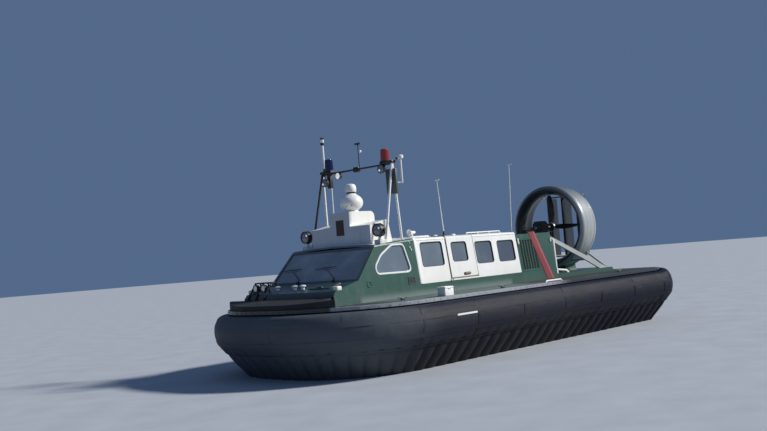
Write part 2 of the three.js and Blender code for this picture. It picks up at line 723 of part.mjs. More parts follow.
function fairing() {
  const { aft, top, corner } = TOWER;
  const tower = new THREE.Shape();
  tower.moveTo(FAIRING.front, FAIRING.top - 60);
  tower.lineTo(FAIRING.front, top);
  tower.lineTo(aft + corner, top);
  tower.absarc(aft + corner, top - corner, corner, Math.PI / 2, Math.PI);
  tower.lineTo(aft, FAIRING.top + 20);
  tower.lineTo(FAIRING.aft + 60, FAIRING.top - 60);
  const body = union([
    fairingTier(0),
    prismY(tower, -TOWER.halfWidth, TOWER.halfWidth),
  ]);
  return geometryOf(cut(body, [belowSkin(cabRoofRings(GAP))]));
}

const TURRET = { x: 3150, z: 3150 };
const TURRET_PROFILE = [
  [0, 0], [130, 0], [130, 28], [190, 50], [238, 120], [245, 190], [235, 270], [190, 345], [125, 385],
  [88, 392], [88, 415], [112, 425], [122, 470], [112, 560], [70, 600], [0, 608],
];

const SEARCHLIGHT = { x: 3490, y: 1085, z: 2712, radius: 128, postTop: 2562, postRadius: 22 };
const LIGHT_STAND = { halfLength: 90, halfWidth: 80, foot: 2380, top: 2520, socketRadius: 45 };

function searchlight() {
  const { x, y, z, radius, postTop, postRadius } = SEARCHLIGHT;
  const body = turnedX([[0, -110], [60, -105], [radius, -20], [radius, 80], [0, 80]], [x, y, z], 20);
  return geometryOf(union([body, rod([x, y, z], [x, y, postTop], postRadius, 10)]));
}

function searchlightStand(side) {
  const { x, y, postTop } = SEARCHLIGHT;
  const { halfLength, halfWidth, foot, top, socketRadius } = LIGHT_STAND;
  const middle = side * y;
  const stand = union([
    box(x - halfLength, x + halfLength, middle - halfWidth, middle + halfWidth, foot, top),
    rod([x, middle, foot + 20], [x, middle, postTop - GAP], socketRadius, 12),
  ]);
  return geometryOf(cut(stand, [belowSkin(cabRoofRings(GAP))]));
}

add('roof_fairing', 'white', fairing());
add('camera_turret', 'white', turnedZ(TURRET_PROFILE, [TURRET.x, 0, TURRET.z + GAP], 24));
add('searchlight_stand_port', 'white', searchlightStand(1));
add('searchlight_stand_starboard', 'white', searchlightStand(-1));
add('searchlight_port', 'black', searchlight());
add('searchlight_starboard', 'black', mirrored(searchlight()));

// Goal-post mast: a leg pair at each side, a crossbar, and the poles and lamps that it carries. Its feet
// stand on the cab roof
const MAST = {
  top: { x: 2940, y: 1050, z: 4090 },
  foot: { foreX: 3340, aftX: 2870, y: 1100, z: 2390 },
  leg: 24,
};
const CROSSBAR = { x: 2920, z: 4060, radius: 20 };
const LAMP_SHELF = { aft: 2860, fore: 2990, inner: 740, outer: 1090, bottom: 4068, top: 4124 };
const LAMP_HANGER = { aft: 2900, fore: 2990, starboard: -870, port: -770, bottom: 3740 };
const JUNCTION_BOX = { aft: 2865, fore: 2965, starboard: -72, port: 63, bottom: 4000, top: 4110 };
const CONTROL_BOX = { aft: 2905, fore: 2972, inner: 870, outer: 1150, bottom: 3430, top: 3950 };
const LOWER_ARM = { x: 2950, y: 1062, z: 3660, radius: 14 };
const FLOODLIGHTS = [
  { x: 2880, y: 772, z: 3974, radius: 92 },
  { x: 2880, y: -530, z: 3980, radius: 76 },
  { x: 2985, y: -850, z: 3860, radius: 90 },
];
const POLES = [
  { x: 2920, y: 88, foot: 4050, top: 4585, radius: 9 },
  { x: 2880, y: -1050, foot: 3900, top: 4760, radius: 24 },
  { x: 2950, y: -785, foot: 2560, top: 4060, radius: 13 },
  { x: 2780, y: 1150, foot: 3630, top: 4170, radius: 20 },
];

function mastSide(side) {
  const { top, foot, leg } = MAST;
  const y = side * top.y;
  const footY = side * foot.y;
  const shelf = [side * LAMP_SHELF.inner, side * LAMP_SHELF.outer];
  const [y0, y1] = [Math.min(...shelf), Math.max(...shelf)];
  return [
    rod([foot.foreX + 10, footY, foot.z], [top.x, y, top.z], leg, 10),
    rod([foot.aftX, footY, foot.z], [top.x - 10, y, top.z], leg, 10),
    box(LAMP_SHELF.aft, LAMP_SHELF.fore, y0, y1, LAMP_SHELF.bottom, LAMP_SHELF.top),
  ];
}

function floodlight({ x, y, z, radius }) {
  return [
    turnedX([[0, 0], [radius - 22, 10], [radius, 60], [radius, 110], [0, 110]], [x, y, z], 16),
    box(x + 30, x + 70, y - 25, y + 25, z, z + radius + 28),
  ];
}

// What the four poles carry at their heads
function poleHeads() {
  const [vane, tall, , port] = POLES;
  return [
    ball([vane.x, vane.y, vane.top + 10], 30, 8),
    turnedZ([[0, 0], [45, 0], [45, 150], [0, 150]], [tall.x, tall.y, tall.top - 20], 12),
    turnedZ([[0, 0], [60, 0], [60, 45], [0, 70]], [port.x, port.y, port.top - 10], 14),
    rod([LOWER_ARM.x, LOWER_ARM.y, LOWER_ARM.z], [port.x, port.y, LOWER_ARM.z], LOWER_ARM.radius, 8),
  ];
}

function mast() {
  const { x, z, radius } = CROSSBAR;
  const parts = [
    ...mastSide(1), ...mastSide(-1), ...FLOODLIGHTS.flatMap((row) => floodlight(row)), ...poleHeads(),
    ...POLES.map((pole) => rod([pole.x, pole.y, pole.foot], [pole.x, pole.y, pole.top], pole.radius, 8)),
    rod([x, -MAST.top.y, z], [x, MAST.top.y, z], radius, 8),
    box(JUNCTION_BOX.aft, JUNCTION_BOX.fore, JUNCTION_BOX.starboard, JUNCTION_BOX.port,
      JUNCTION_BOX.bottom, JUNCTION_BOX.top),
    box(CONTROL_BOX.aft, CONTROL_BOX.fore, CONTROL_BOX.inner, CONTROL_BOX.outer,
      CONTROL_BOX.bottom, CONTROL_BOX.top),
    box(LAMP_HANGER.aft, LAMP_HANGER.fore, LAMP_HANGER.starboard, LAMP_HANGER.port,
      LAMP_HANGER.bottom, LAMP_SHELF.bottom + 6),
  ];
  return geometryOf(cut(union(parts), [fairingTier(GAP), belowSkin(cabRoofRings(GAP))]));
}

const BEACON = { x: 2920, y: 850, z: LAMP_SHELF.top, radius: 95, height: 262, baseHeight: 14 };

function beacon(side) {
  const { radius, height, baseHeight } = BEACON;
  const profile = [
    [0, 0], [radius + 8, 0], [radius + 8, baseHeight], [radius, baseHeight + 2],
    [radius - 6, height - 20], [radius - 30, height], [0, height],
  ];
  return turnedZ(profile, [BEACON.x, side * BEACON.y, BEACON.z + GAP], 20);
}

const WHIP = { socketRadius: 30, socketHeight: 90, rodStart: 60, rodRadius: 13, tipRadius: 7 };

function whip(x, y, foot, top, lean) {
  const pole = union([
    rod([x, y, foot - 20], [x, y, foot + WHIP.socketHeight], WHIP.socketRadius, 10),
    rod([x, y, foot + WHIP.rodStart], [x + lean, y, top], WHIP.rodRadius, 8, WHIP.tipRadius),
  ]);
  const housing = box(HOUSING_AFT_X, CABIN_AFT_X, -SIDE_Y, SIDE_Y, DECK_Z, HOUSING_TOP_Z);
  return geometryOf(cut(pole, [belowSkin(cabinRoofRings()), housing]));
}

add('mast', 'white', mast());
add('beacon_port', 'red', beacon(1));
add('beacon_starboard', 'blue', beacon(-1));
add('whip_mid', 'white', whip(590, 300, 2536, 3830, 100));
add('whip_aft', 'white', whip(-2200, 150, HOUSING_TOP_Z, 4250, -130));

// Engine housing with open louvres, its hatch, the engine and the lift fan

const HATCH = {
  x0: -2040, x1: -1380, halfWidth: 560, thick: 22, hingeX: -1380, pin: 13, hinges: [-400, 340], knuckle: 60,
};
const HATCH_HANDLE = { aft: 60, fore: 90, halfWidth: 80, height: 35 };
const LOUVRE = { x0: -1560, x1: -960, z0: 1620, z1: 2300, count: 6, bar: 34 };

function louvreSlots() {
  const pitch = (LOUVRE.x1 - LOUVRE.x0 + LOUVRE.bar) / LOUVRE.count;
  const slots = [];
  for (let i = 0; i < LOUVRE.count; i += 1) {
    const x = LOUVRE.x0 + i * pitch;
    slots.push(box(x, x + pitch - LOUVRE.bar, -1500, 1500, LOUVRE.z0, LOUVRE.z1));
  }
  return slots;
}

function hatchHinge(y0, y1, onHousing) {
  const { hingeX, pin } = HATCH;
  const z = HOUSING_TOP_Z + pin + 3;
  const [aft, fore] = onHousing ? [hingeX + 1, hingeX + 40] : [hingeX - 50, hingeX - 2];
  const foot = onHousing ? HOUSING_TOP_Z - 20 : HOUSING_TOP_Z - 12;
  return [rod([hingeX, y0, z], [hingeX, y1, z], pin, 10), box(aft, fore, y0, y1, foot, z)];
}

function engineHousing() {
  const top = HOUSING_TOP_Z;
  const front = CABIN_AFT_X - GAP;
  const outline = [
    [HOUSING_AFT_X, SILL_Z], [front, SILL_Z], [front, top],
    [HOUSING_AFT_X + 40, top], [HOUSING_AFT_X, top - 60],
  ];
  const sides = solid(betweenSides(0, SILL_Z, top, HOUSING_AFT_X, front));
  const shell = solid(prismY(outline, -SIDE_Y, SIDE_Y)).intersect(sides);
  const inside = betweenSides(WALL, SILL_Z - 10, top - 40, HOUSING_AFT_X + WALL, front + 10);
  const hatchHole = box(HATCH.x0, HATCH.x1, -HATCH.halfWidth, HATCH.halfWidth, top - 60, top + 10);
  const hinges = HATCH.hinges.flatMap((y) => hatchHinge(y, y + HATCH.knuckle, true));
  return geometryOf(cut(shell, [inside, hatchHole, ...louvreSlots()]).add(union(hinges)));
}

function engineHatch() {
  const { x0, x1, halfWidth, thick, hinges, knuckle } = HATCH;
  const gap = MOVING_GAP;
  const half = halfWidth - gap;
  const top = HOUSING_TOP_Z;
  const lid = box(x0 + gap, x1 - gap, -half, half, top - thick, top);
  const leaves = hinges.flatMap((y) => hatchHinge(y + knuckle + GAP, y + 2 * knuckle));
  const handle = box(x0 + HATCH_HANDLE.aft, x0 + HATCH_HANDLE.fore, -HATCH_HANDLE.halfWidth,
    HATCH_HANDLE.halfWidth, top - 5, top + HATCH_HANDLE.height);
  return geometryOf(union([lid, handle, ...leaves]));
}

const ENGINE = { x0: -2130, x1: -1290, halfWidth: 430, z0: 950, z1: 1980 };
const FAN = {
  x: -1060, z: 1800, radius: 400, halfDepth: 95, plate: 12, rim: 10, eye: 270, blades: 10, bladeRoot: 250,
  bladeHalfThick: 6, shaft: 30,
};

function liftFan() {
  const { x, z, radius, halfDepth, plate, rim, eye, shaft } = FAN;
  const backPlate = [[0, 0], [radius, 0], [radius, plate], [90, plate], [70, 60], [0, 60]];
  const parts = [
    turnedX(backPlate, [x - halfDepth, 0, z], 30),
    rod([ENGINE.x1 + GAP, 0, z], [x - halfDepth + 5, 0, z], shaft, 12),
  ];
  const frontPlate = [[0, 0], [radius, 0], [radius, rim], [0, rim]];
  const ring = solid(turnedX(frontPlate, [x + halfDepth - rim, 0, z], 30));
  const inlet = turnedX([[0, 0], [eye, 0], [eye, 30], [0, 30]], [x + halfDepth - 2 * rim, 0, z], 30);
  for (let i = 0; i < FAN.blades; i += 1) {
    const half = FAN.bladeHalfThick;
    const blade = box(-halfDepth, halfDepth, -half, half, FAN.bladeRoot, radius - 8);
    parts.push(blade.rotateX((i * 2 * Math.PI) / FAN.blades + 0.1).translate(x, 0, z));
  }
  return geometryOf(union(parts).add(cut(ring, [inlet])));
}

add('engine_housing', 'green', engineHousing());
add('engine_hatch', 'green', engineHatch());
add('engine_block', 'black',
  box(ENGINE.x0, ENGINE.x1, -ENGINE.halfWidth, ENGINE.halfWidth, ENGINE.z0, ENGINE.z1));
add('lift_fan', 'bareAlloy', liftFan());

// Aft deck, drive pylon, duct, propeller and rudders

function aftPlinth() {
  const { aft, halfWidth, top } = PLINTH;
  const front = HOUSING_AFT_X - GAP;
  const outline = [[front, -halfWidth], [front, halfWidth], [aft + 300, halfWidth], [aft, halfWidth - 300],
    [aft, -halfWidth + 300], [aft + 300, -halfWidth]];
  return prismZ([...outline].reverse(), DECK_Z, top);
}

const PYLON = {
  front: -3560, aft: -3840, halfWidth: 165, footOut: 90, waistZ: 1650, boss: 130, bossEnd: 90, bossLength: 110,
};
const DRIVE_TUBE = { z: 1750, radius: 75 };

function drivePylon() {
  const { front, aft, halfWidth, footOut, waistZ, boss, bossEnd, bossLength } = PYLON;
  const starboard = [
    [-80, DUCT.z + 170], [-halfWidth + 20, DUCT.z + 90],
    [-halfWidth, waistZ], [-halfWidth - footOut, PLINTH.top],
  ];
  const port = starboard.map(([y, z]) => [-y, z]).reverse();
  return geometryOf(union([
    prismX([...port, ...starboard], aft, front),
    rod([aft + 20, 0, DUCT.z], [aft - bossLength, 0, DUCT.z], boss, 20, bossEnd),
    rod([front - 20, 0, DRIVE_TUBE.z], [HOUSING_AFT_X - GAP, 0, DRIVE_TUBE.z], DRIVE_TUBE.radius, 16),
  ]));
}

// A fat rounded lip in front, a skin that tapers aft and a throat at the propeller
function ductRing() {
  const front = DUCT.length / 2;
  const throatAt = PROP.x - DUCT.x;
  const profile = [
    [1005, front], [1050, front - 10], [1082, front - 42], [DUCT.outer, front - 105], [1096, front - 230],
    [1058, -front + 50], [1034, -front], [968, -front], [915, -60], [DUCT.throat, throatAt - 55],
    [DUCT.throat, throatAt + 50], [900, front - 110], [945, front - 40], [975, front - 10], [1005, front],
  ];
  const points = profile.map(([r, h]) => new THREE.Vector2(r, h));
  return new THREE.LatheGeometry(points.reverse(), 48).rotateZ(-Math.PI / 2).translate(DUCT.x, 0, DUCT.z);
}

const RUDDER_BAR = {
  rise: 27, halfChord: 45, halfSpan: 640, halfThick: 18, armY: 560, armHalfWidth: 35, armSunk: 47,
};

function rudderBars() {
  const { rise, halfChord, halfSpan, halfThick, armY, armHalfWidth } = RUDDER_BAR;
  const armFore = DUCT.x - DUCT.length / 2 + RUDDER_BAR.armSunk;
  return [1, -1].flatMap((up) => {
    const z = DUCT.z + up * (RUDDER.half + rise);
    const arms = [1, -1].map((side) => box(
      RUDDER.x - 30, armFore, side * armY - armHalfWidth, side * armY + armHalfWidth,
      z - halfThick, z + halfThick,
    ));
    const [aft, fore] = [RUDDER.x - halfChord, RUDDER.x + halfChord];
    return [box(aft, fore, -halfSpan, halfSpan, z - halfThick, z + halfThick), ...arms];
  });
}

// The ring stands on a pedestal, with a raking strut aft and a cross tube to the long stay at each side
const PEDESTAL = [[420, PLINTH.top + GAP], [330, 1600], [260, 1700]];
const PEDESTAL_HALF_LENGTH = 250;
const BORE_RADIUS = 985;
const STRUT = { top: [-4560, 780, 1880], foot: [-5190, 960, PLINTH.top + 12], radius: 26 };
const STRUT_PAD = { halfLength: 50, halfWidth: 45, top: PLINTH.top + 26 };
const CROSS_TUBE = { x: -4100, y: 540, z: 1690, radius: 30 };

function ductStruts(side) {
  const [topX, topY, topZ] = STRUT.top;
  const [footX, footY, footZ] = STRUT.foot;
  const { halfLength, halfWidth, top } = STRUT_PAD;
  const y = side * footY;
  const { x, z, radius } = CROSS_TUBE;
  return [
    rod([topX, side * topY, topZ], [footX, y, footZ], STRUT.radius, 10),
    box(footX - halfLength, footX + halfLength, y - halfWidth, y + halfWidth, PLINTH.top + GAP, top),
    rod([x, side * CROSS_TUBE.y, z], [x, side * (STAY.y0 - GAP), z], radius, 10),
  ];
}

function duct() {
  const borePoints = [[0, -2000], [BORE_RADIUS, -2000], [BORE_RADIUS, 2000], [0, 2000]];
  const bore = turnedX(borePoints, [DUCT.x, 0, DUCT.z], 48);
  const starboard = PEDESTAL.map(([y, z]) => [-y, z]).reverse();
  const [aft, fore] = [DUCT.x - PEDESTAL_HALF_LENGTH, DUCT.x + PEDESTAL_HALF_LENGTH];
  const pedestal = prismX([...PEDESTAL, ...starboard], aft, fore);
  const below = box(-6000, -3000, -2000, 2000, DECK_Z, PLINTH.top + GAP);
  const carried = cut(union([pedestal, ...ductStruts(1), ...ductStruts(-1)]), [bore, below]);
  return geometryOf(solid(ductRing()).add(carried).add(union(rudderBars())));
}

const STAY = { y0: 1070, y1: 1120 };

function stay() {
  const outline = [
    [-4110, 1745], [-4980, PLINTH.top + GAP], [-4600, PLINTH.top + GAP], [-4030, 1650],
    [HOUSING_AFT_X - GAP, 2300], [HOUSING_AFT_X - GAP, 2400],
  ];
  return prismY(outline, STAY.y0, STAY.y1);
}

const PROP_BLADE = [
  [-60, 90], [75, 90], [105, 330], [90, 620], [55, PROP.radius], [-35, PROP.radius], [-80, 620], [-95, 330],
];
const BLADE_THICK = 26;
const BLADE_PITCH = 0.5;

function propeller() {
  const parts = [
    turnedX([[0, -110], [70, -105], [PROP.hub, -70], [PROP.hub, 90], [0, 90]], [PROP.x, 0, DUCT.z], 24),
    rod([PROP.x + 80, 0, DUCT.z], [PYLON.aft - PYLON.bossLength - GAP, 0, DUCT.z], PROP.shaft, 16),
  ];
  for (let i = 0; i < PROP.blades; i += 1) {
    const blade = extrude(shapeOf(PROP_BLADE), BLADE_THICK);
    blade.translate(0, 0, -BLADE_THICK / 2).rotateX(Math.PI / 2).rotateZ(BLADE_PITCH);
    blade.rotateX((i * 2 * Math.PI) / PROP.blades);
    parts.push(blade.translate(PROP.x, 0, DUCT.z));
  }
  return geometryOf(union(parts));
}

function rudder(y) {
  const { x, chordAhead, chordAft, thick, half, shaft } = RUDDER;
  const t = thick / 2;
  const outline = [
    [x + chordAhead, y], [x + chordAhead * 0.75, y + t * 0.75], [x, y + t], [x - chordAft * 0.5, y + t * 0.6],
    [x - chordAft, y + 3], [x - chordAft, y - 3], [x - chordAft * 0.5, y - t * 0.6], [x, y - t],
    [x + chordAhead * 0.75, y - t * 0.75],
  ];
  const reach = half + RUDDER_BAR.rise - RUDDER_BAR.halfThick - GAP;
  return geometryOf(union([
    prismZ(outline, DUCT.z - half, DUCT.z + half),
    rod([x, y, DUCT.z - reach], [x, y, DUCT.z + reach], shaft, 12),
  ]));
}

add('aft_plinth', 'green', aftPlinth());
add('drive_pylon', 'black', drivePylon());
add('duct', 'greyPaint', duct());
add('duct_stay_port', 'greyPaint', stay());
add('duct_stay_starboard', 'greyPaint', mirrored(stay()));
add('propeller', 'black', propeller());
add('rudder_port', 'greyPaint', rudder(RUDDER.y[2]));
add('rudder_centre', 'greyPaint', rudder(RUDDER.y[1]));
add('rudder_starboard', 'greyPaint', rudder(RUDDER.y[0]));

// Rails, deck-edge boxes and bow fittings

const AFT_RAIL = {
  y: 1200, top: [-2375, 2255], knee: [-2415, 1530], tail: [-2915, 1475], radii: [38, 42, 26],
};
const RAIL_FEET = [{ x0: -2475, x1: -2355, top: 1540 }, { x0: -2950, x1: -2860, top: 1490 }];
const RAIL_FOOT_HALF_WIDTH = 50;

function aftRail() {
  const { y, radii } = AFT_RAIL;
  const [top, knee, tail] = [AFT_RAIL.top, AFT_RAIL.knee, AFT_RAIL.tail].map(([x, z]) => [x, y, z]);
  const feet = RAIL_FEET.map((foot) => box(
    foot.x0, foot.x1, y - RAIL_FOOT_HALF_WIDTH, y + RAIL_FOOT_HALF_WIDTH, PLINTH.top, foot.top,
  ));
  return geometryOf(union([rod(top, knee, radii[0], 10, radii[1]), rod(knee, tail, radii[2], 10), ...feet]));
}

const DECK_BOX = { x0: 2900, x1: 3170, y0: 2180, y1: 2385, top: 1510 };

function deckBox() {
  return box(DECK_BOX.x0, DECK_BOX.x1, DECK_BOX.y0, DECK_BOX.y1, DECK_Z, DECK_BOX.top);
}

const BOW_RAIL = {
  foreX: 5165, lean: 275, aftX: 4760, y: [-1200, -950, -700], top: 1830, half: 17, barRadius: 13,
};

function bowRail() {
  const { foreX, lean, aftX, y, top, half, barRadius } = BOW_RAIL;
  const foot = APRON.nose - 60;
  const hoop = [
    [foreX + half, foot], [foreX - lean + half, top + half], [aftX - half, top + half], [aftX - half, foot],
    [aftX + half, foot], [aftX + half, top - half], [foreX - lean - half, top - half], [foreX - half, foot],
  ];
  const hoops = y.map((middle) => prismY(hoop, middle - half, middle + half));
  const bars = [[foreX - lean, top], [aftX, top], [foreX - lean * 0.55, foot + (top - foot) * 0.55]].map(
    ([x, z]) => rod([x, y[0], z], [x, y[2], z], barRadius, 8),
  );
  const nose = prismY([
    [NOSE.x + GAP, DECK_Z], [NOSE.x + GAP, NOSE.edgeZ + GAP], [NOSE.x - NOSE.round + GAP, NOSE.z + GAP],
    [SCREEN_FOOT.x, SCREEN_FOOT.z + GAP], [SCREEN_FOOT.x, DECK_Z],
  ], -SIDE_Y, SIDE_Y);
  const apron = prismY([
    [NOSE.x, DECK_Z], [APRON.toe, DECK_Z], [APRON.toe, APRON.tip + GAP], [NOSE.x, APRON.nose + GAP],
  ], -SIDE_Y, SIDE_Y);
  return geometryOf(cut(union([...hoops, ...bars]), [nose, apron]));
}

add('aft_rail_port', 'white', aftRail());
add('aft_rail_starboard', 'white', mirrored(aftRail()));
add('deck_box_port', 'white', deckBox());
add('deck_box_starboard', 'white', mirrored(deckBox()));
add('bow_rail', 'black', bowRail());

export default craft;
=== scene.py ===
"""Looks of a light passenger hovercraft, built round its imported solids. Metres, +X to the bow, +Y to port."""

from __future__ import annotations

import logging
import math
from dataclasses import dataclass
from enum import Enum, IntEnum
from typing import Iterable, Sequence, Union

import bmesh
import bpy
from mathutils import Matrix, Vector


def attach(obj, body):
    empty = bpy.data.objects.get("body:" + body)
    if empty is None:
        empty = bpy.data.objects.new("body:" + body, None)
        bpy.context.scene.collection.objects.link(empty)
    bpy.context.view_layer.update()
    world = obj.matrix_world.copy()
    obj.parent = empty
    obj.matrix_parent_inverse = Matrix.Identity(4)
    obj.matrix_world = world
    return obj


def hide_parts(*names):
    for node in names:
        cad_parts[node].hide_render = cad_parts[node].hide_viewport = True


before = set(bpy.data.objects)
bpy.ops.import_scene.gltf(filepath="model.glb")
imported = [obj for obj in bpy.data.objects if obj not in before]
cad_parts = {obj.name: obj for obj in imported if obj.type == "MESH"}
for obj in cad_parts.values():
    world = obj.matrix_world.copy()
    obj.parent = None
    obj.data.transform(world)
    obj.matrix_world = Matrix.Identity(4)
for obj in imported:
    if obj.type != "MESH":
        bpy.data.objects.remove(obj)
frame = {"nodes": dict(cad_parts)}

LOG = logging.getLogger("hovercraft")
Flat = tuple[float, float]
Point = Sequence[float]
Colour = tuple[float, float, float]
Row = tuple[float, ...]
Rows = tuple[Row, ...]
Value = Union["Field", float, tuple, bool, str]

# Past every part of the craft, so a box that reaches it is open there
FAR = 50.0


class Socket(Enum):
    """Kinds of input that a Geometry Nodes tree may have."""

    SHAPE = "NodeSocketGeometry"
    NUMBER = "NodeSocketFloat"
    COUNT = "NodeSocketInt"
    PLACE = "NodeSocketVector"
    FINISH = "NodeSocketMaterial"


class Axis(Enum):
    """The direction that a turned shape is built along."""

    FORE = (Vector((1, 0, 0)), Vector((0, 1, 0)))
    UP = (Vector((0, 0, 1)), Vector((1, 0, 0)))
    PORT = (Vector((0, 1, 0)), Vector((1, 0, 0)))


# Node graphs


class Field:
    """A value on a node's socket, with arithmetic that adds Math nodes."""

    def __init__(self, graph: Graph, socket: bpy.types.NodeSocket) -> None:
        """Wraps a socket of a graph."""
        self.graph = graph
        self.socket = socket

    def _math(self, operation: str, *values: Value, clamp: bool = False) -> Field:
        """Adds one Math node.

        Args:
            operation: the node's operation.
            values: its inputs, in order.
            clamp: whether the result is kept from 0 to 1.

        Returns:
            The node's result.
        """
        settings = {"operation": operation, "use_clamp": clamp}
        return self.graph.add("ShaderNodeMath", settings, dict(enumerate(values)))

    def __add__(self, other: Value) -> Field:
        """Sum."""
        return self._math("ADD", self, other)

    def __radd__(self, other: Value) -> Field:
        """Sum, reflected."""
        return self._math("ADD", other, self)

    def __sub__(self, other: Value) -> Field:
        """Difference."""
        return self._math("SUBTRACT", self, other)

    def __rsub__(self, other: Value) -> Field:
        """Difference, reflected."""
        return self._math("SUBTRACT", other, self)

    def __mul__(self, other: Value) -> Field:
        """Product."""
        return self._math("MULTIPLY", self, other)

    def __rmul__(self, other: Value) -> Field:
        """Product, reflected."""
        return self._math("MULTIPLY", other, self)

    def __truediv__(self, other: Value) -> Field:
        """Quotient."""
        return self._math("DIVIDE", self, other)

    def __rtruediv__(self, other: Value) -> Field:
        """Quotient, reflected."""
        return self._math("DIVIDE", other, self)

    def __pow__(self, other: Value) -> Field:
        """Power."""
        return self._math("POWER", self, other)

    def __rpow__(self, other: Value) -> Field:
        """Power, reflected."""
        return self._math("POWER", other, self)

    def __abs__(self) -> Field:
        """Size without sign."""
        return self._math("ABSOLUTE", self)

    def clamp(self) -> Field:
        """The value kept from 0 to 1."""
        return self._math("ADD", self, 0.0, clamp=True)

    def smooth(self, low: float, high: float) -> Field:
        """A soft step: 0 below low, 1 above high."""
        span = {"Value": self, "From Min": low, "From Max": high}
        return self.graph.add("ShaderNodeMapRange", {"interpolation_type": "SMOOTHSTEP"}, span)


class Graph:
    """A node tree that is written as expressions."""

    def __init__(self, tree: bpy.types.NodeTree) -> None:
        """Wraps a tree."""
        self.tree = tree

    def put(self, socket: bpy.types.NodeSocket, value: Value) -> None:
        """Links or sets one input.

        Args:
            socket: the input.
            value: a field to link, or the value itself.
        """
        if isinstance(value, Field):
            self.tree.links.new(value.socket, socket)
        elif isinstance(value, tuple) and socket.type == "RGBA" and len(value) == 3:
            socket.default_value = (*value, 1.0)
        else:
            socket.default_value = value

    def add(self, kind: str, settings: dict | None = None, sockets: dict | None = None,
            out: int | str = 0) -> Field:
        """Adds one node.

        Args:
            kind: the node's type.
            settings: its properties, set first; stops are a ramp's places and colours.
            sockets: values or links of its inputs.
            out: the output to give back.

        Returns:
            That output.
        """
        node = self.tree.nodes.new(kind)
        for name, value in (settings or {}).items():
            if name == "stops":
                for i, (place, colour) in enumerate(value):
                    stop = node.color_ramp.elements[i] if i < 2 else node.color_ramp.elements.new(place)
                    stop.position, stop.color = place, (*colour, 1.0)
            else:
                setattr(node, name, value)
        for name, value in (sockets or {}).items():
            self.put(node.inputs[name], value)
        return Field(self, node.outputs[out])


class Shader(Graph):
    """A material, with patterns that are fixed to the craft."""

    def __init__(self, name: str) -> None:
        """Starts a material with its Principled shader.

        Args:
            name: the material's name.
        """
        self.material = bpy.data.materials.new(name)
        self.material.use_nodes = True
        super().__init__(self.material.node_tree)
        self.principled = self.tree.nodes["Principled BSDF"]
        self.place = self.add("ShaderNodeTexCoord", out="Object")
        split = self.add("ShaderNodeSeparateXYZ", sockets={0: self.place}).socket.node
        self.x, self.y, self.z = (Field(self, socket) for socket in split.outputs)

    def noise(self, scale: float, detail: float = 3.0, stretch: Point = (1, 1, 1)) -> Field:
        """Cloudy noise.

        Args:
            scale: waves a metre.
            detail: octaves.
            stretch: how each axis is scaled.

        Returns:
            The noise, about 0.5.
        """
        place = self.add(
            "ShaderNodeVectorMath", {"operation": "MULTIPLY"}, {0: self.place, 1: tuple(stretch)},
        )
        return self.add("ShaderNodeTexNoise", sockets={"Vector": place, "Scale": scale, "Detail": detail})

    def inside(self, low: Point, high: Point, soft: float = 0.003) -> Field:
        """A mask that is 1 inside a box of the craft's frame.

        Args:
            low: the box's least corner; FAR leaves a side open.
            high: its greatest corner.
            soft: half width of its edges.

        Returns:
            The mask.
        """
        mask: Field | None = None
        for value, least, most in zip((self.x, self.y, self.z), low, high):
            for edge, sign in ((least, 1), (most, -1)):
                if abs(edge) < FAR:
                    step = value.smooth(edge - soft, edge + soft)
                    side = step if sign > 0 else 1 - step
                    mask = side if mask is None else mask * side
        return mask

    def mix(self, share: Value, first: Value, second: Value) -> Field:
        """Colour between two, by share."""
        settings = {"data_type": "RGBA"}
        return self.add("ShaderNodeMix", settings, {"Factor": share, 6: first, 7: second}, out=2)

    def relief(self, height: Field, depth: float, strength: float = 1.0) -> Field:
        """A bumped normal."""
        sockets = {"Height": height, "Distance": depth, "Strength": strength}
        return self.add("ShaderNodeBump", sockets=sockets, out="Normal")

    def dress(self, **values: Value) -> None:
        """Sets or links the Principled shader's inputs; an underscore stands for a space."""
        for name, value in values.items():
            self.put(self.principled.inputs[name.replace("_", " ")], value)


# Finishes


@dataclass(frozen=True)
class Finish:
    """What every finish has: a name, and the one material that is made from it."""

    name: str

    def material(self) -> bpy.types.Material:
        """The finish's material, made the first time.

        Returns:
            The material.
        """
        found = bpy.data.materials.get(self.name)
        if found is None:
            shader = Shader(self.name)
            self.paint(shader)
            found = shader.material
        return found

    def paint(self, shader: Shader) -> None:
        """Builds the finish's nodes.

        Args:
            shader: the material's graph.
        """
        raise NotImplementedError


@dataclass(frozen=True)
class Zone:
    """A part of the craft's space that a paint has another colour in: a second paint, or painted shade or
    highlight.
    """

    low: Point
    high: Point
    colour: Colour
    soft: float = 0.004


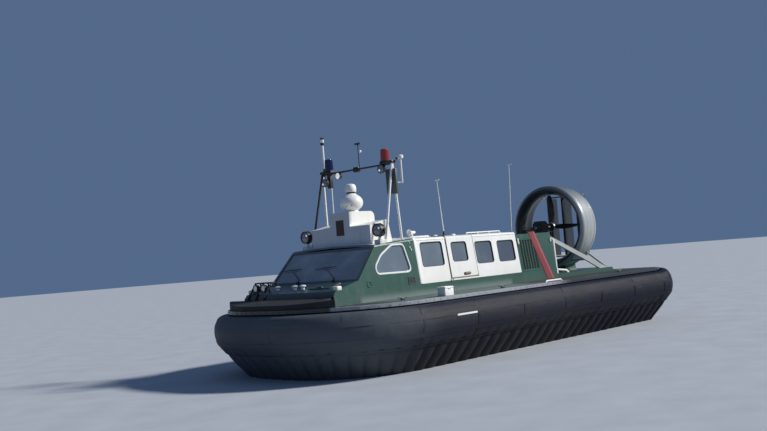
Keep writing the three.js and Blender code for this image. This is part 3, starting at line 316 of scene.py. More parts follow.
@dataclass(frozen=True)
class Paint(Finish):
    """Marine paint: cloudy fade, runs of dirt, spray stains near the deck and a faint orange peel."""

    colour: Colour = (0.5, 0.5, 0.5)
    soil: Colour = (0.045, 0.04, 0.032)
    rough: float = 0.32
    soiling: float = 0.35
    foot: Flat = (1.33, 1.62)
    peel: float = 0.0006
    metallic: float = 0.0
    coat: float = 0.25
    zones: tuple[Zone, ...] = ()

    def paint(self, shader: Shader) -> None:
        """Builds the paint's nodes.

        Args:
            shader: the material's graph.
        """
        cloud = shader.noise(1.3, 4.0)
        fine = shader.noise(34.0, 4.0)
        runs = shader.noise(11.0, 3.0, (1.0, 1.0, 0.08))
        low = 1 - shader.z.smooth(*self.foot)
        dirt = (
            runs.smooth(0.5, 0.78) * 0.55 + low * fine.smooth(0.35, 0.7) * 0.8 + cloud.smooth(0.55, 0.8) * 0.3
        )
        dirt = (dirt * self.soiling).clamp()
        colour: Value = self.colour
        for zone in self.zones:
            colour = shader.mix(shader.inside(zone.low, zone.high, zone.soft), colour, zone.colour)
        faded = shader.add("ShaderNodeHueSaturation", sockets={"Value": cloud * 0.3 + 0.86, "Color": colour})
        shader.dress(
            Base_Color=shader.mix(dirt, faded, self.soil),
            Roughness=(dirt * 0.4 + fine * 0.12 + (self.rough - 0.06)).clamp(),
            Normal=shader.relief(fine + shader.noise(5.0, 2.0) * 3, self.peel), Metallic=self.metallic,
            Coat_Weight=self.coat, Coat_Roughness=0.2,
        )


@dataclass(frozen=True)
class CoatedFabric(Finish):
    """Rubber-coated fabric of the skirt: soft creases, a fine weave, brown spray stains towards the hem, and a
    painted sky reflection that makes the bow paler.
    """

    top: Colour = (0.014, 0.017, 0.028)
    stain: Colour = (0.024, 0.021, 0.018)
    # Paler colour at the bow and the x span it fades in over: a painted reflection of the sky
    bow: Colour = (0.085, 0.096, 0.112)
    bow_reflection_span: Flat = (3.6, 5.0)
    tail: Colour = (0.004, 0.006, 0.016)
    tail_span: Flat = (0.6, -3.2)
    weave: float = 0.0004

    def paint(self, shader: Shader) -> None:
        """Builds the fabric's nodes.

        Args:
            shader: the material's graph.
        """
        cloud = shader.noise(0.8, 5.0)
        fine = shader.noise(26.0, 5.0)
        runs = shader.noise(6.0, 4.0, (1.0, 1.0, 0.15))
        low = 1 - shader.z.smooth(0.1, 1.05)
        stain = (low * 0.55 + cloud.smooth(0.4, 0.75) * 0.45 + runs.smooth(0.5, 0.8) * 0.35 - 0.18).clamp()
        salt = shader.noise(70.0, 2.0).smooth(0.69, 0.78) * fine.smooth(0.45, 0.6) * 0.22
        colour = shader.mix(stain, self.top, self.stain)
        # Painted reflection of the sky, paler towards the bow
        colour = shader.mix(shader.x.smooth(*self.bow_reflection_span), colour, self.bow)
        colour = shader.mix(
            (0 - shader.x).smooth(-self.tail_span[0], -self.tail_span[1]) * 0.85, colour, self.tail,
        )
        colour = shader.mix(salt, colour, (0.14, 0.15, 0.17))
        warp = shader.add(
            "ShaderNodeTexWave", {"bands_direction": "Z"}, {"Vector": shader.place, "Scale": 90.0},
        )
        weft = shader.add(
            "ShaderNodeTexWave", {"bands_direction": "X"}, {"Vector": shader.place, "Scale": 90.0},
        )
        crease = shader.noise(3.5, 3.0, (1.0, 1.0, 0.35)) * 30
        shader.dress(
            Base_Color=colour, Roughness=(fine * 0.16 + stain * 0.2 + 0.42).clamp(),
            Normal=shader.relief(warp + weft + fine * 5 + crease, self.weave), Specular_IOR_Level=0.13,
        )


@dataclass(frozen=True)
class NonSkid(Finish):
    """Gritty deck paint, with trodden patches and salt."""

    colour: Colour = (0.02, 0.022, 0.024)
    zones: tuple[Zone, ...] = ()

    def paint(self, shader: Shader) -> None:
        """Builds the deck's nodes.

        Args:
            shader: the material's graph.
        """
        grit = shader.noise(160.0, 2.0)
        worn = shader.noise(1.6, 5.0)
        colour: Value = self.colour
        for zone in self.zones:
            colour = shader.mix(shader.inside(zone.low, zone.high, zone.soft), colour, zone.colour)
        salt = (worn.smooth(0.5, 0.75) * grit.smooth(0.42, 0.62) * 0.3).clamp()
        shader.dress(Base_Color=shader.mix(salt, colour, (0.25, 0.25, 0.24)),
                     Roughness=(grit * 0.2 + 0.62).clamp(), Normal=shader.relief(grit, 0.0012))


@dataclass(frozen=True)
class Tinted(Finish):
    """Tinted glazing, darker towards the stern, with a thin film of salt; its grey-blue colour is partly a
    painted reflection of the sky.
    """

    fore: Colour = (0.15, 0.19, 0.235)
    aft: Colour = (0.085, 0.11, 0.15)
    span: Flat = (-0.8, 2.4)
    alpha: float = 0.7
    rough: float = 0.06
    film: float = 0.2

    def paint(self, shader: Shader) -> None:
        """Builds the glass's nodes.

        Args:
            shader: the material's graph.
        """
        salt = shader.noise(2.2, 3.0) * 0.7 + shader.noise(40.0, 3.0) * 0.3
        haze = salt.smooth(0.42, 0.72) * self.film
        tint = shader.mix(shader.x.smooth(*self.span), self.aft, self.fore)
        shader.dress(
            Base_Color=shader.mix(haze, tint, (0.3, 0.34, 0.38)), Alpha=(haze * 0.3 + self.alpha).clamp(),
            Roughness=(haze * 0.3 + self.rough).clamp(), Coat_Weight=0.6, Coat_Roughness=0.03,
        )


@dataclass(frozen=True)
class Moulded(Finish):
    """Plastic, rubber or plain enamel: a fine grain, dust in it, and scuffs that are paler."""

    colour: Colour = (0.015, 0.015, 0.016)
    dust: Colour = (0.16, 0.15, 0.14)
    rough: float = 0.45
    dusting: float = 0.25
    grain: float = 0.0003
    metallic: float = 0.0

    def paint(self, shader: Shader) -> None:
        """Builds the plastic's nodes.

        Args:
            shader: the material's graph.
        """
        grain = shader.noise(240.0, 2.0)
        cloud = shader.noise(7.0, 5.0)
        dust = (cloud.smooth(0.45, 0.8) * self.dusting).clamp()
        shader.dress(Base_Color=shader.mix(dust, self.colour, self.dust),
                     Roughness=(dust * 0.5 + grain * 0.1 + (self.rough - 0.05)).clamp(),
                     Metallic=self.metallic, Normal=shader.relief(grain + cloud * 2, self.grain))


@dataclass(frozen=True)
class Lens(Finish):
    """Coloured or clear lens that glows a little with the light behind it; the palest, with the strongest glow,
    is a painted glint of the sun.
    """

    colour: Colour = (0.6, 0.03, 0.01)
    glow: float = 0.15
    rough: float = 0.12

    def paint(self, shader: Shader) -> None:
        """Builds the lens's nodes.

        Args:
            shader: the material's graph.
        """
        depth = shader.noise(14.0, 3.0)
        colour = shader.add(
            "ShaderNodeHueSaturation", sockets={"Value": depth * 0.7 + 0.65, "Color": self.colour},
        )
        shader.dress(Base_Color=colour, Roughness=(depth * 0.1 + self.rough - 0.03).clamp(),
                     Emission_Color=colour, Emission_Strength=self.glow, Coat_Weight=1.0, Coat_Roughness=0.04)


@dataclass(frozen=True)
class Upholstery(Finish):
    """Woven seat cloth."""

    colour: Colour = (0.05, 0.06, 0.09)

    def paint(self, shader: Shader) -> None:
        """Builds the cloth's nodes.

        Args:
            shader: the material's graph.
        """
        warp = shader.add(
            "ShaderNodeTexWave", {"bands_direction": "X"}, {"Vector": shader.place, "Scale": 120.0},
        )
        weft = shader.add(
            "ShaderNodeTexWave", {"bands_direction": "Y"}, {"Vector": shader.place, "Scale": 120.0},
        )
        weave = warp * weft
        wear = shader.noise(5.0, 4.0)
        colour = shader.mix((weave * 0.5 + wear * 0.3).clamp(), self.colour, (0.16, 0.17, 0.21))
        shader.dress(Base_Color=colour, Roughness=(wear * 0.1 + 0.8).clamp(),
                     Normal=shader.relief(weave, 0.0006), Sheen_Weight=0.4)


GREEN = (0.02, 0.076, 0.058)
# Painted shade on the nose's top, under the cab
NOSE_SHADE_GREEN = (0.016, 0.042, 0.044)
WHITE = (0.79, 0.795, 0.775)

SKIRT_FABRIC = CoatedFabric("coated_fabric")
SEAM_TAPE = CoatedFabric("seam_tape", top=(0.013, 0.015, 0.024), stain=(0.025, 0.022, 0.019), weave=0.0002)
DECK_PAINT = NonSkid("deck_paint", (0.014, 0.04, 0.034), (
    Zone((4.4, -FAR, -FAR), (FAR, FAR, FAR), (0.012, 0.014, 0.016)),
    Zone((-5.4, 1.5, -FAR), (4.4, 2.25, FAR), (0.014, 0.024, 0.022)),
    Zone((-5.4, -2.25, -FAR), (4.4, -1.5, FAR), (0.014, 0.024, 0.022)),
    Zone((-0.2, 1.4, -FAR), (4.2, FAR, FAR), (0.085, 0.12, 0.115), 0.25),
    Zone((-0.2, -FAR, -FAR), (4.2, -1.4, FAR), (0.085, 0.12, 0.115), 0.25),
    Zone((-FAR, -FAR, -FAR), (FAR, FAR, 1.0), (0.06, 0.06, 0.06)),
))
APRON_PAINT = NonSkid("apron_paint", (0.012, 0.013, 0.016))
STRAKE_PAINT = Paint("strake_paint", (0.31, 0.31, 0.38), soiling=0.3, foot=(1.2, 1.5), zones=(
    Zone((0.9, -FAR, -FAR), (FAR, FAR, FAR), (0.32, 0.36, 0.4), 0.3),
    Zone((-FAR, -FAR, -FAR), (-0.75, FAR, FAR), (0.018, 0.024, 0.04), 0.5),
    # Darker on the strake's bow end: painted shade
    Zone((4.0, -2.1, -FAR), (FAR, 1.53, FAR), (0.024, 0.028, 0.034), 0.03),
))
NOSE_PAINT = Paint("nose_paint", GREEN, zones=(
    Zone((-0.4, -FAR, 1.2), (4.4, FAR, 1.42), (0.13, 0.19, 0.18), 0.07),
    # Nose top darker: painted shade of the cab; the front face below it near black
    Zone((4.38, -1.24, 1.5), (FAR, 1.24, FAR), NOSE_SHADE_GREEN, 0.02),
    Zone((5.085, -FAR, -FAR), (FAR, FAR, FAR), (0.006, 0.007, 0.008)),
))
GREEN_PAINT = Paint("side_green", GREEN)
WHITE_PAINT = Paint("cabin_white", WHITE, soiling=0.18, foot=(1.5, 1.75), rough=0.3)
FAIRING_WHITE = Paint("fairing_white", (0.78, 0.78, 0.75), soiling=0.16, foot=(2.4, 2.6), rough=0.4, zones=(
    # Front faces forward of x 3.537 blue-grey: painted shade on the white fairing
    Zone((3.537, -FAR, -FAR), (FAR, FAR, FAR), (0.52, 0.55, 0.59), 0.0015),
))
CAB_ROOF_PAINT = Paint("cab_roof_paint", WHITE, soiling=0.2, foot=(2.2, 2.5), zones=(
    Zone((-FAR, 1.13, -FAR), (FAR, FAR, FAR), GREEN),
    Zone((-FAR, -FAR, -FAR), (FAR, -1.13, FAR), GREEN),
    Zone((3.74, -FAR, -FAR), (FAR, FAR, FAR), (0.11, 0.14, 0.165)),
))
DUCT_OUTER = Paint("duct_outer", (0.34, 0.37, 0.38), soiling=0.4, foot=(1.4, 2.2), rough=0.36, zones=(
    # Darker towards the top of the duct: painted shade
    Zone((-FAR, -FAR, 3.36), (FAR, FAR, FAR), (0.085, 0.1, 0.11), 0.42),
))
# Inner skin: a darker liner, darkened further as painted shade inside the duct
DUCT_INNER = Paint("duct_inner", (0.022, 0.031, 0.035), soiling=0.3, foot=(1.4, 2.2), rough=0.42)
STAY_PAINT = Paint("stay_paint", (0.4, 0.42, 0.43), soiling=0.3, foot=(1.3, 1.7))
RUDDER_PAINT = Paint("rudder_paint", (0.02, 0.022, 0.026), soiling=0.3, foot=(1.4, 2.2), zones=(
    # Pale strips on the outer rudders' outboard faces: painted sunlight on the part lit through the duct
    Zone((-5.02, 0.46, 2.27), (-4.96, FAR, 2.69), (0.42, 0.44, 0.44)),
    Zone((-5.02, -FAR, 2.27), (-4.96, -0.46, 2.69), (0.42, 0.44, 0.44)),
))
MAST_WHITE = Paint("mast_white", (0.82, 0.82, 0.8), soiling=0.15, foot=(2.3, 2.6), coat=0.1)
STRIPE_RED = Paint("stripe_red", (0.22, 0.03, 0.032), soiling=0.3, rough=0.34)
# Pale pink line along each red stripe: a painted highlight
STRIPE_HIGHLIGHT = Paint("stripe_painted_highlight", (0.46, 0.2, 0.2), soiling=0.2, rough=0.3)
# Glass colours: tint, partly a painted reflection of the sky, paler on the windscreen
GLASS = Tinted("tinted_pane", alpha=0.88)
SCREEN_GLASS = Tinted("screen_pane", fore=(0.215, 0.24, 0.27), aft=(0.215, 0.24, 0.27), alpha=0.88, film=0.6)
BLACK_ENAMEL = Moulded("black_enamel")
GASKET = Moulded("gasket_rubber", (0.03, 0.031, 0.034), rough=0.6, dusting=0.35)
CREAM = Moulded("cream_frame", (0.74, 0.72, 0.62), dust=(0.3, 0.27, 0.2), rough=0.4)
FRAME_WHITE = Moulded("frame_white", (0.72, 0.75, 0.78), dust=(0.4, 0.4, 0.4), rough=0.35, dusting=0.15)
FRONT_SEAL = Moulded("front_seal", (0.13, 0.115, 0.1), dust=(0.22, 0.19, 0.15), rough=0.6, dusting=0.5)
SCREEN_SEAL = Moulded("screen_seal", (0.095, 0.115, 0.14), dust=(0.14, 0.16, 0.18), rough=0.6, dusting=0.3)
HANDLE_GREY = Moulded("handle_grey", (0.19, 0.145, 0.12), dust=(0.16, 0.13, 0.11), rough=0.5, dusting=0.5)
SILL_SEAL = Moulded("sill_seal", (0.22, 0.15, 0.09), dust=(0.06, 0.045, 0.03), rough=0.6, dusting=0.9)
AFT_SEAL = Moulded("aft_seal", (0.42, 0.43, 0.43), dust=(0.2, 0.2, 0.2), rough=0.5)
VENT_GREEN = Moulded("vent_green", (0.016, 0.04, 0.036), dust=(0.08, 0.09, 0.09), rough=0.5)
BOX_GREEN = Moulded("box_green", (0.06, 0.075, 0.066), dust=(0.12, 0.13, 0.12), rough=0.5)
ALLOY = Moulded("bare_metal", (0.55, 0.56, 0.57), dust=(0.2, 0.2, 0.2), rough=0.36, metallic=0.9)
DARK_BROWN = Moulded("brown_plate", (0.045, 0.022, 0.016), dust=(0.1, 0.06, 0.05), rough=0.5, dusting=0.6)
TRIM_GREY = Moulded("cabin_trim", (0.1, 0.105, 0.11), rough=0.7)
TAPE_WHITE = Moulded("pale_tape", (0.75, 0.76, 0.76), dust=(0.4, 0.4, 0.4), rough=0.35)
RED_LENS = Lens("red_dome", (0.24, 0.022, 0.014), 0.05)
BLUE_LENS = Lens("blue_dome", (0.004, 0.005, 0.06), 0.02)
SIDE_RED = Lens("side_red", (0.16, 0.01, 0.01), 0.05)
SIDE_GREEN = Lens("side_green_lens", (0.01, 0.14, 0.05), 0.05)
CLEAR_LENS = Lens("clear_lens", (0.62, 0.66, 0.7), 0.1)
# Painted glint of the sun on a lens, glowing
GLINT_LENS = Lens("lens_painted_glint", (0.9, 0.9, 0.88), 0.5)
DARK_LENS = Lens("dark_lens", (0.02, 0.025, 0.035), 0.0, 0.06)
GREY_LENS = Lens("grey_lens", (0.17, 0.19, 0.215), 0.0, 0.12)
CLOTH = Upholstery("seat_cloth")


# Shapes


def lerp(a: float, b: float, share: float) -> float:
    """The value a share of the way from a to b."""
    return a + (b - a) * share


def turns(count: int) -> list[float]:
    """Angles that cut a full turn into equal parts."""
    return [2 * math.pi * i / count for i in range(count)]


def between(p: float, q: float, r: float, s: float, t: float) -> float:
    """The value a share t of the way from q to r, on a smooth curve through all four."""
    bend = 2 * p - 5 * q + 4 * r - s
    return 0.5 * (2 * q + (r - p) * t + bend * t ** 2 + (3 * q - p - 3 * r + s) * t ** 3)


def rounded(points: Sequence[Point], radius: float, steps: int = 4, closed: bool = False) -> list[Vector]:
    """A line with its corners turned into arcs.

    Args:
        points: the line's corners.
        radius: how far from a corner the arc starts.
        steps: parts of an arc.
        closed: whether the last corner joins the first.

    Returns:
        The new points.
    """
    corners = [Vector(p) for p in points]
    found: list[Vector] = []
    for i, here in enumerate(corners):
        if not closed and i in (0, len(corners) - 1):
            found.append(here)
            continue
        before, after = corners[i - 1], corners[(i + 1) % len(corners)]
        reach_in = min(radius, (before - here).length * 0.49)
        reach_out = min(radius, (after - here).length * 0.49)
        start = here + (before - here).normalized() * reach_in
        end = here + (after - here).normalized() * reach_out
        for j in range(steps + 1):
            t = j / steps
            found.append(start * (1 - t) ** 2 + here * (2 * t * (1 - t)) + end * t ** 2)
    return found


def rectangle(u0: float, u1: float, v0: float, v1: float, radius: float, steps: int = 4) -> list[Vector]:
    """A flat rectangle with rounded corners."""
    return rounded([(u0, v0), (u1, v0), (u1, v1), (u0, v1)], radius, steps, closed=True)


def grown(outline: Sequence[Vector], by: float) -> list[Vector]:
    """A flat closed outline, moved outwards.

    Args:
        outline: its points in order.
        by: how far each edge moves.

    Returns:
        The new points.
    """
    count = len(outline)
    area = sum(outline[i - 1].x * outline[i].y - outline[i].x * outline[i - 1].y for i in range(count))
    turn = 1 if area > 0 else -1
    found = []
    for i, here in enumerate(outline):
        first = (here - outline[i - 1]).normalized()
        second = (outline[(i + 1) % count] - here).normalized()
        mitre = Vector((first.y + second.y, -first.x - second.x)) * turn
        scale = max(mitre.length_squared / 2, 0.4)
        found.append(here + mitre * (by / scale))
    return found


@dataclass(frozen=True)
class Plane:
    """A flat place on the craft: an origin, the two directions on it, and the one that faces out."""

    origin: Point
    across: Point
    up: Point
    out: Point

    def at(self, u: float, v: float, out: float = 0.0) -> Vector:
        """A point of the craft's frame."""
        return Vector(self.origin) + Vector(self.across) * u + Vector(self.up) * v + Vector(self.out) * out


SIDE_Y, SIDE_SLOPE, DECK_Z, EAVES_Z, PLINTH_Z = 1.36, 0.125, 1.33, 2.46, 1.4203
SIDES = ((1, "port"), (-1, "starboard"))
SIDE = Plane((0, SIDE_Y + SIDE_SLOPE * DECK_Z, 0), (1, 0, 0), (0, -SIDE_SLOPE, 1), (0, 0.99228, 0.12404))
SCREEN = Plane((4.4, 0, 1.765), (0, 1, 0), (-0.6755, 0, 0.7374), (0.7374, 0, 0.6755))
NOSE = Plane((4.4, 0, 1.765), (0, 1, 0), (0.9701, 0, -0.2425), (0.2425, 0, 0.9701))
ROOF_SECTION = ((1.0, 0.0), (0.995, 0.022), (0.965, 0.04), (0.5, 0.068), (0.0, 0.08))


def level(z: float) -> Plane:
    """A level plane at a height."""
    return Plane((0, 0, z), (1, 0, 0), (0, 1, 0), (0, 0, 1))


def side_y(z: float) -> float:
    """Half width of the leaning side at a height."""
    return SIDE_Y - SIDE_SLOPE * (z - DECK_Z)


def roof_z(y: float, eaves: float = EAVES_Z) -> float:
    """Height of the crowned roof's skin at a distance from the middle.

    Args:
        y: the distance.
        eaves: the height of the roof's edge.

    Returns:
        The height.
    """
    share = min(abs(y) / side_y(eaves), 1.0)
    for (wide, low), (narrow, high) in zip(ROOF_SECTION, ROOF_SECTION[1:]):
        if share >= narrow:
            return eaves + lerp(low, high, (wide - share) / (wide - narrow))
    return eaves


def face_outwards(mesh: bpy.types.Mesh, weld: bool = False) -> None:
    """Turns the faces of a closed mesh outwards.

    Args:
        mesh: what is changed.
        weld: whether points that meet are joined first.
    """
    work = bmesh.new()
    work.from_mesh(mesh)
    if weld:
        bmesh.ops.remove_doubles(work, verts=work.verts, dist=5e-5)
        bmesh.ops.dissolve_degenerate(work, edges=work.edges, dist=1e-5)
    bmesh.ops.recalc_face_normals(work, faces=work.faces)
    work.to_mesh(mesh)
    work.free()


class Shape:
    """Points and faces of one piece, gathered part by part."""

    def __init__(self) -> None:
        """Starts an empty shape."""
        self.points: list[Vector] = []
        self.faces: list[tuple[int, ...]] = []
        self.paints: list[int] = []
        self.paint = 0

    def face(self, *corners: int) -> None:
        """Adds one face of the present finish."""
        self.faces.append(corners)
        self.paints.append(self.paint)

    def loft(self, rings: Sequence[Sequence[Point]], closed: bool = False, caps: bool = True) -> Shape:
        """Joins rings of points, all with the same count.

        Args:
            rings: the rings in order.
            closed: whether the last joins the first.
            caps: whether the ends are filled.

        Returns:
            The shape itself.
        """
        start, count = len(self.points), len(rings[0])
        self.points += [Vector(p) for ring in rings for p in ring]
        for i in range(len(rings) if closed else len(rings) - 1):
            here, then = start + i * count, start + (i + 1) % len(rings) * count
            for j in range(count):
                k = (j + 1) % count
                self.face(here + j, here + k, then + k, then + j)
        if caps and not closed:
            self.face(*range(start + count - 1, start - 1, -1))
            last = start + (len(rings) - 1) * count
            self.face(*range(last, last + count))
        return self

    def tube(self, path: Sequence[Point], radius: float | Sequence[float], sides: int = 12) -> Shape:
        """A round bar along a path, its ends slightly domed.

        Args:
            path: its points.
            radius: one radius, or one for each point.
            sides: faces round it.

        Returns:
            The shape itself.
        """
        line = [Vector(p) for p in path]
        radii = list(radius) if isinstance(radius, (list, tuple)) else [radius] * len(line)
        steps = [(b - a).normalized() for a, b in zip(line, line[1:])]
        normal = steps[0].orthogonal().normalized()
        rings = []
        for i, here in enumerate(line):
            before, after = steps[max(i - 1, 0)], steps[min(i, len(steps) - 1)]
            along = (before + after).normalized()
            normal = (normal - along * normal.dot(along)).normalized()
            side = along.cross(normal)
            ring = [normal * math.cos(a) + side * math.sin(a) for a in turns(sides)]
            ends = [(0.0, 1.0)]
            if i == 0:
                ends = [(-0.35, 0.55), (-0.12, 0.9), (0.0, 1.0)]
            elif i == len(line) - 1:
                ends = [(0.0, 1.0), (0.12, 0.9), (0.35, 0.55)]
            for shift, share in ends:
                rings.append([here + along * (shift * radii[i]) + p * (radii[i] * share) for p in ring])
        return self.loft(rings)

    def lathe(self, profile: Sequence[Flat], centre: Point, axis: Axis = Axis.UP, sides: int = 32) -> Shape:
        """A turned body: profile rows are radius and distance along the axis.

        Args:
            profile: the rows, from one end to the other.
            centre: where the axis starts.
            axis: its direction.
            sides: faces round it.

        Returns:
            The shape itself.
        """
        along, normal = axis.value
        side = along.cross(normal)
        spokes = [normal * math.cos(a) + side * math.sin(a) for a in turns(sides)]
        rings = []
        for radius, reach in profile:
            rings.append([Vector(centre) + along * reach + spoke * max(radius, 1e-4) for spoke in spokes])
        return self.loft(rings)

    def ring(self, profile: Sequence[Flat], centre: Point, axis: Axis, sides: int = 96) -> Shape:
        """A turned ring: profile is a closed line of radius and distance along the axis.

        Args:
            profile: the line's points.
            centre: where the axis starts.
            axis: its direction.
            sides: faces round it.

        Returns:
            The shape itself.
        """
        along, normal = axis.value
        side = along.cross(normal)
        rings = []
        for turn in turns(sides):
            spoke = normal * math.cos(turn) + side * math.sin(turn)
            rings.append([Vector(centre) + along * reach + spoke * radius for radius, reach in profile])
        return self.loft(rings, closed=True)

    def slab(self, outline: Sequence[Vector], plane: Plane, section: Sequence[Flat]) -> Shape:
        """A plate or cushion: section rows say how far the outline grows, and its height on the plane.

        Args:
            outline: its flat outline.
            plane: where it lies.
            section: the rows.

        Returns:
            The shape itself.
        """
        flat = [Vector(p) for p in outline]
        rings = [[plane.at(p.x, p.y, out) for p in grown(flat, by)] for by, out in section]
        return self.loft(rings)

    def border(self, outline: Sequence[Vector], plane: Plane, section: Sequence[Flat]) -> Shape:
        """A frame round an outline: section is its closed cross-section.

        Args:
            outline: the flat outline.
            plane: where it lies.
            section: rows of growth and height.

        Returns:
            The shape itself.
        """
        flat = [Vector(p) for p in outline]
        rings = [[plane.at(p.x, p.y, out) for p in grown(flat, by)] for by, out in section]
        return self.loft(rings, closed=True)

    def plate(self, outline: Sequence[Vector], plane: Plane, low: float, high: float,
              edge: float = 0.002) -> Shape:
        """A flat plate with eased edges."""
        return self.slab(outline, plane, [(-edge, low), (0, low + edge), (0, high - edge), (-edge, high)])

    def block(self, low: Point, high: Point, edge: float = 0.006) -> Shape:
        """A box with rounded edges.

        Args:
            low: its least corner.
            high: its greatest corner.
            edge: radius of its edges.

        Returns:
            The shape itself.
        """
        corner = min(edge * 1.5, (high[0] - low[0]) * 0.45, (high[1] - low[1]) * 0.45)
        outline = rectangle(low[0], high[0], low[1], high[1], corner, 3)
        lift = min(edge, (high[2] - low[2]) * 0.45)
        rise = [(-lift, low[2]), (-lift * 0.3, low[2] + lift * 0.3), (0, low[2] + lift), (0, high[2] - lift),
                (-lift * 0.3, high[2] - lift * 0.3), (-lift, high[2])]
        return self.slab(outline, level(0), rise)

    def mirrored(self) -> Shape:
        """Adds the twin of everything so far on the other side of the craft.

        Returns:
            The shape itself.
        """
        count = len(self.points)
        self.points += [Vector((p.x, -p.y, p.z)) for p in self.points]
        self.faces += [tuple(i + count for i in reversed(face)) for face in self.faces]
        self.paints += self.paints
        return self

    def twin(self) -> Shape:
        """A copy on the other side of the craft.

        Returns:
            The copy.
        """
        copy = Shape()
        copy.points = [Vector((p.x, -p.y, p.z)) for p in self.points]
        copy.faces = [tuple(reversed(face)) for face in self.faces]
        copy.paints = list(self.paints)
        return copy

    def mesh(self, name: str) -> bpy.types.Mesh:
        """The shape as a closed mesh, its faces pointing outwards.

        Args:
            name: the mesh's name.

        Returns:
            The mesh.
        """
        mesh = bpy.data.meshes.new(name)
        mesh.from_pydata(self.points, [], self.faces)
        mesh.polygons.foreach_set("material_index", self.paints)
        face_outwards(mesh, weld=True)
        return mesh

    def build(self, name: str, finishes: Finish | Sequence[Finish], body: str = "root",
              slot: str | None = None, replaces: Sequence[str] = (), sharp: float = 32.0) -> bpy.types.Object:
        """Makes the piece.

        Args:
            name: the piece's name.
            finishes: one finish, or one for each paint number.
            body: the body that it rides on.
            slot: the record's material slot; not used.
            replaces: the nodes that it stands for.
            sharp: the angle in degrees past which an edge stays sharp.

        Returns:
            The piece's object.
        """
        mesh = self.mesh(name)
        for finish in [finishes] if isinstance(finishes, Finish) else finishes:
            mesh.materials.append(finish.material())
        return settle(bpy.data.objects.new(name, mesh), body, replaces, sharp)


    def pair(self, name: str, finishes: Finish | Sequence[Finish], body: str | None = None,
             slot: str | None = None, replaces: str | None = None) -> None:
        """Makes the piece to port and its twin to starboard.

        Args:
            name: the pieces' name before the side.
            finishes: one finish, or one for each paint number.
            body: the body that each rides on, before the side; the root without it.
            slot: the record's material slot.
            replaces: the node that each stands for, before the side.
        """
        for side, shape in (("port", self), ("starboard", self.twin())):
            shape.build(f"{name}_{side}", finishes, f"{body}_{side}" if body else "root", slot,
                        (f"{replaces}_{side}",) if replaces else ())


def settle(
    piece: bpy.types.Object, body: str, replaces: Sequence[str] = (),
    sharp: float = 32.0,
) -> bpy.types.Object:
    """Puts a piece in the scene on its body.

    Args:
        piece: the object, its place in its mesh.
        body: the body that it rides on.
        replaces: the nodes that it stands for.
        sharp: the angle in degrees past which an edge stays sharp.

    Returns:
        The piece.
    """
    if piece.name not in bpy.context.scene.collection.objects:
        bpy.context.scene.collection.objects.link(piece)
    piece.data.shade_smooth()
    piece.data.set_sharp_from_angle(angle=math.radians(sharp))
    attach(piece, body)
    if replaces:
        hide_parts(*replaces)
    LOG.info("%s: %d faces on %s", piece.name, len(piece.data.polygons), body)
    return piece


# Geometry Nodes


class Recipe(Graph):
    """A Geometry Nodes tree with named inputs, run once on a mesh."""

    def __init__(self, name: str, inputs: dict[str, Socket]) -> None:
        """Starts a tree.

        Args:
            name: the tree's name.
            inputs: its inputs after the mesh, by name.
        """
        super().__init__(bpy.data.node_groups.new(name, "GeometryNodeTree"))
        make = self.tree.interface.new_socket
        make("Mesh", in_out="INPUT", socket_type=Socket.SHAPE.value)
        self.keys = {key: make(key, in_out="INPUT", socket_type=kind.value).identifier
                     for key, kind in inputs.items()}
        make("Mesh", in_out="OUTPUT", socket_type=Socket.SHAPE.value)
        entry = self.tree.nodes.new("NodeGroupInput")
        self.given = {socket.name: Field(self, socket) for socket in entry.outputs if socket.name}

    def named(self, name: str, kind: str = "FLOAT") -> Field:
        """An attribute of the mesh."""
        return self.add("GeometryNodeInputNamedAttribute", {"data_type": kind}, {"Name": name})

    def end(self, shape: Field) -> Recipe:
        """Realizes the instances, sets the finish and closes the tree.

        Args:
            shape: the finished geometry.

        Returns:
            The recipe itself.
        """
        whole = self.add("GeometryNodeRealizeInstances", sockets={"Geometry": shape})
        dressed = self.add(
            "GeometryNodeSetMaterial", sockets={"Geometry": whole, "Material": self.given["Finish"]},
        )
        self.put(self.tree.nodes.new("NodeGroupOutput").inputs[0], dressed)
        return self

    def run(self, name: str, mesh: bpy.types.Mesh, **values: object) -> bpy.types.Object:
        """Runs the tree on a mesh.

        Args:
            name: the new piece's name.
            mesh: what goes in.
            values: the tree's inputs, underscores for spaces.

        Returns:
            An object with a plain mesh.
        """
        source = bpy.data.objects.new(name + "_source", mesh)
        bpy.context.scene.collection.objects.link(source)
        modifier = source.modifiers.new("recipe", "NODES")
        modifier.node_group = self.tree
        for key, value in values.items():
            modifier[self.keys[key.replace("_", " ")]] = value
        graph = bpy.context.evaluated_depsgraph_get()
        made = bpy.data.meshes.new_from_object(source.evaluated_get(graph), depsgraph=graph)
        made.name = name
        bpy.data.objects.remove(source)
        return bpy.data.objects.new(name, made)


def row_of_heads() -> Recipe:
    """Fastener heads at a spacing along the mesh's lines, each facing the line's outward direction.

    Returns:
        The recipe.
    """
    tree = Recipe("row_of_heads", {
        "Spacing": Socket.NUMBER, "Radius": Socket.NUMBER, "Height": Socket.NUMBER, "Finish": Socket.FINISH,
    })
    line = tree.add("GeometryNodeMeshToCurve", sockets={"Mesh": tree.given["Mesh"]})
    spots = tree.add(
        "GeometryNodeResampleCurve", {"mode": "LENGTH"}, {"Curve": line, "Length": tree.given["Spacing"]},
    )
    radius = tree.given["Radius"]
    head = tree.add("GeometryNodeMeshCone", {"fill_type": "NGON"}, {
        "Vertices": 8, "Radius Top": radius * 0.6, "Radius Bottom": radius, "Depth": tree.given["Height"],
    })
    facing = tree.add(
        "FunctionNodeAlignRotationToVector", {"axis": "Z"}, {"Vector": tree.named("outward", "FLOAT_VECTOR")},
    )
    heads = tree.add(
        "GeometryNodeInstanceOnPoints", sockets={"Points": spots, "Instance": head, "Rotation": facing},
    )
    return tree.end(heads)


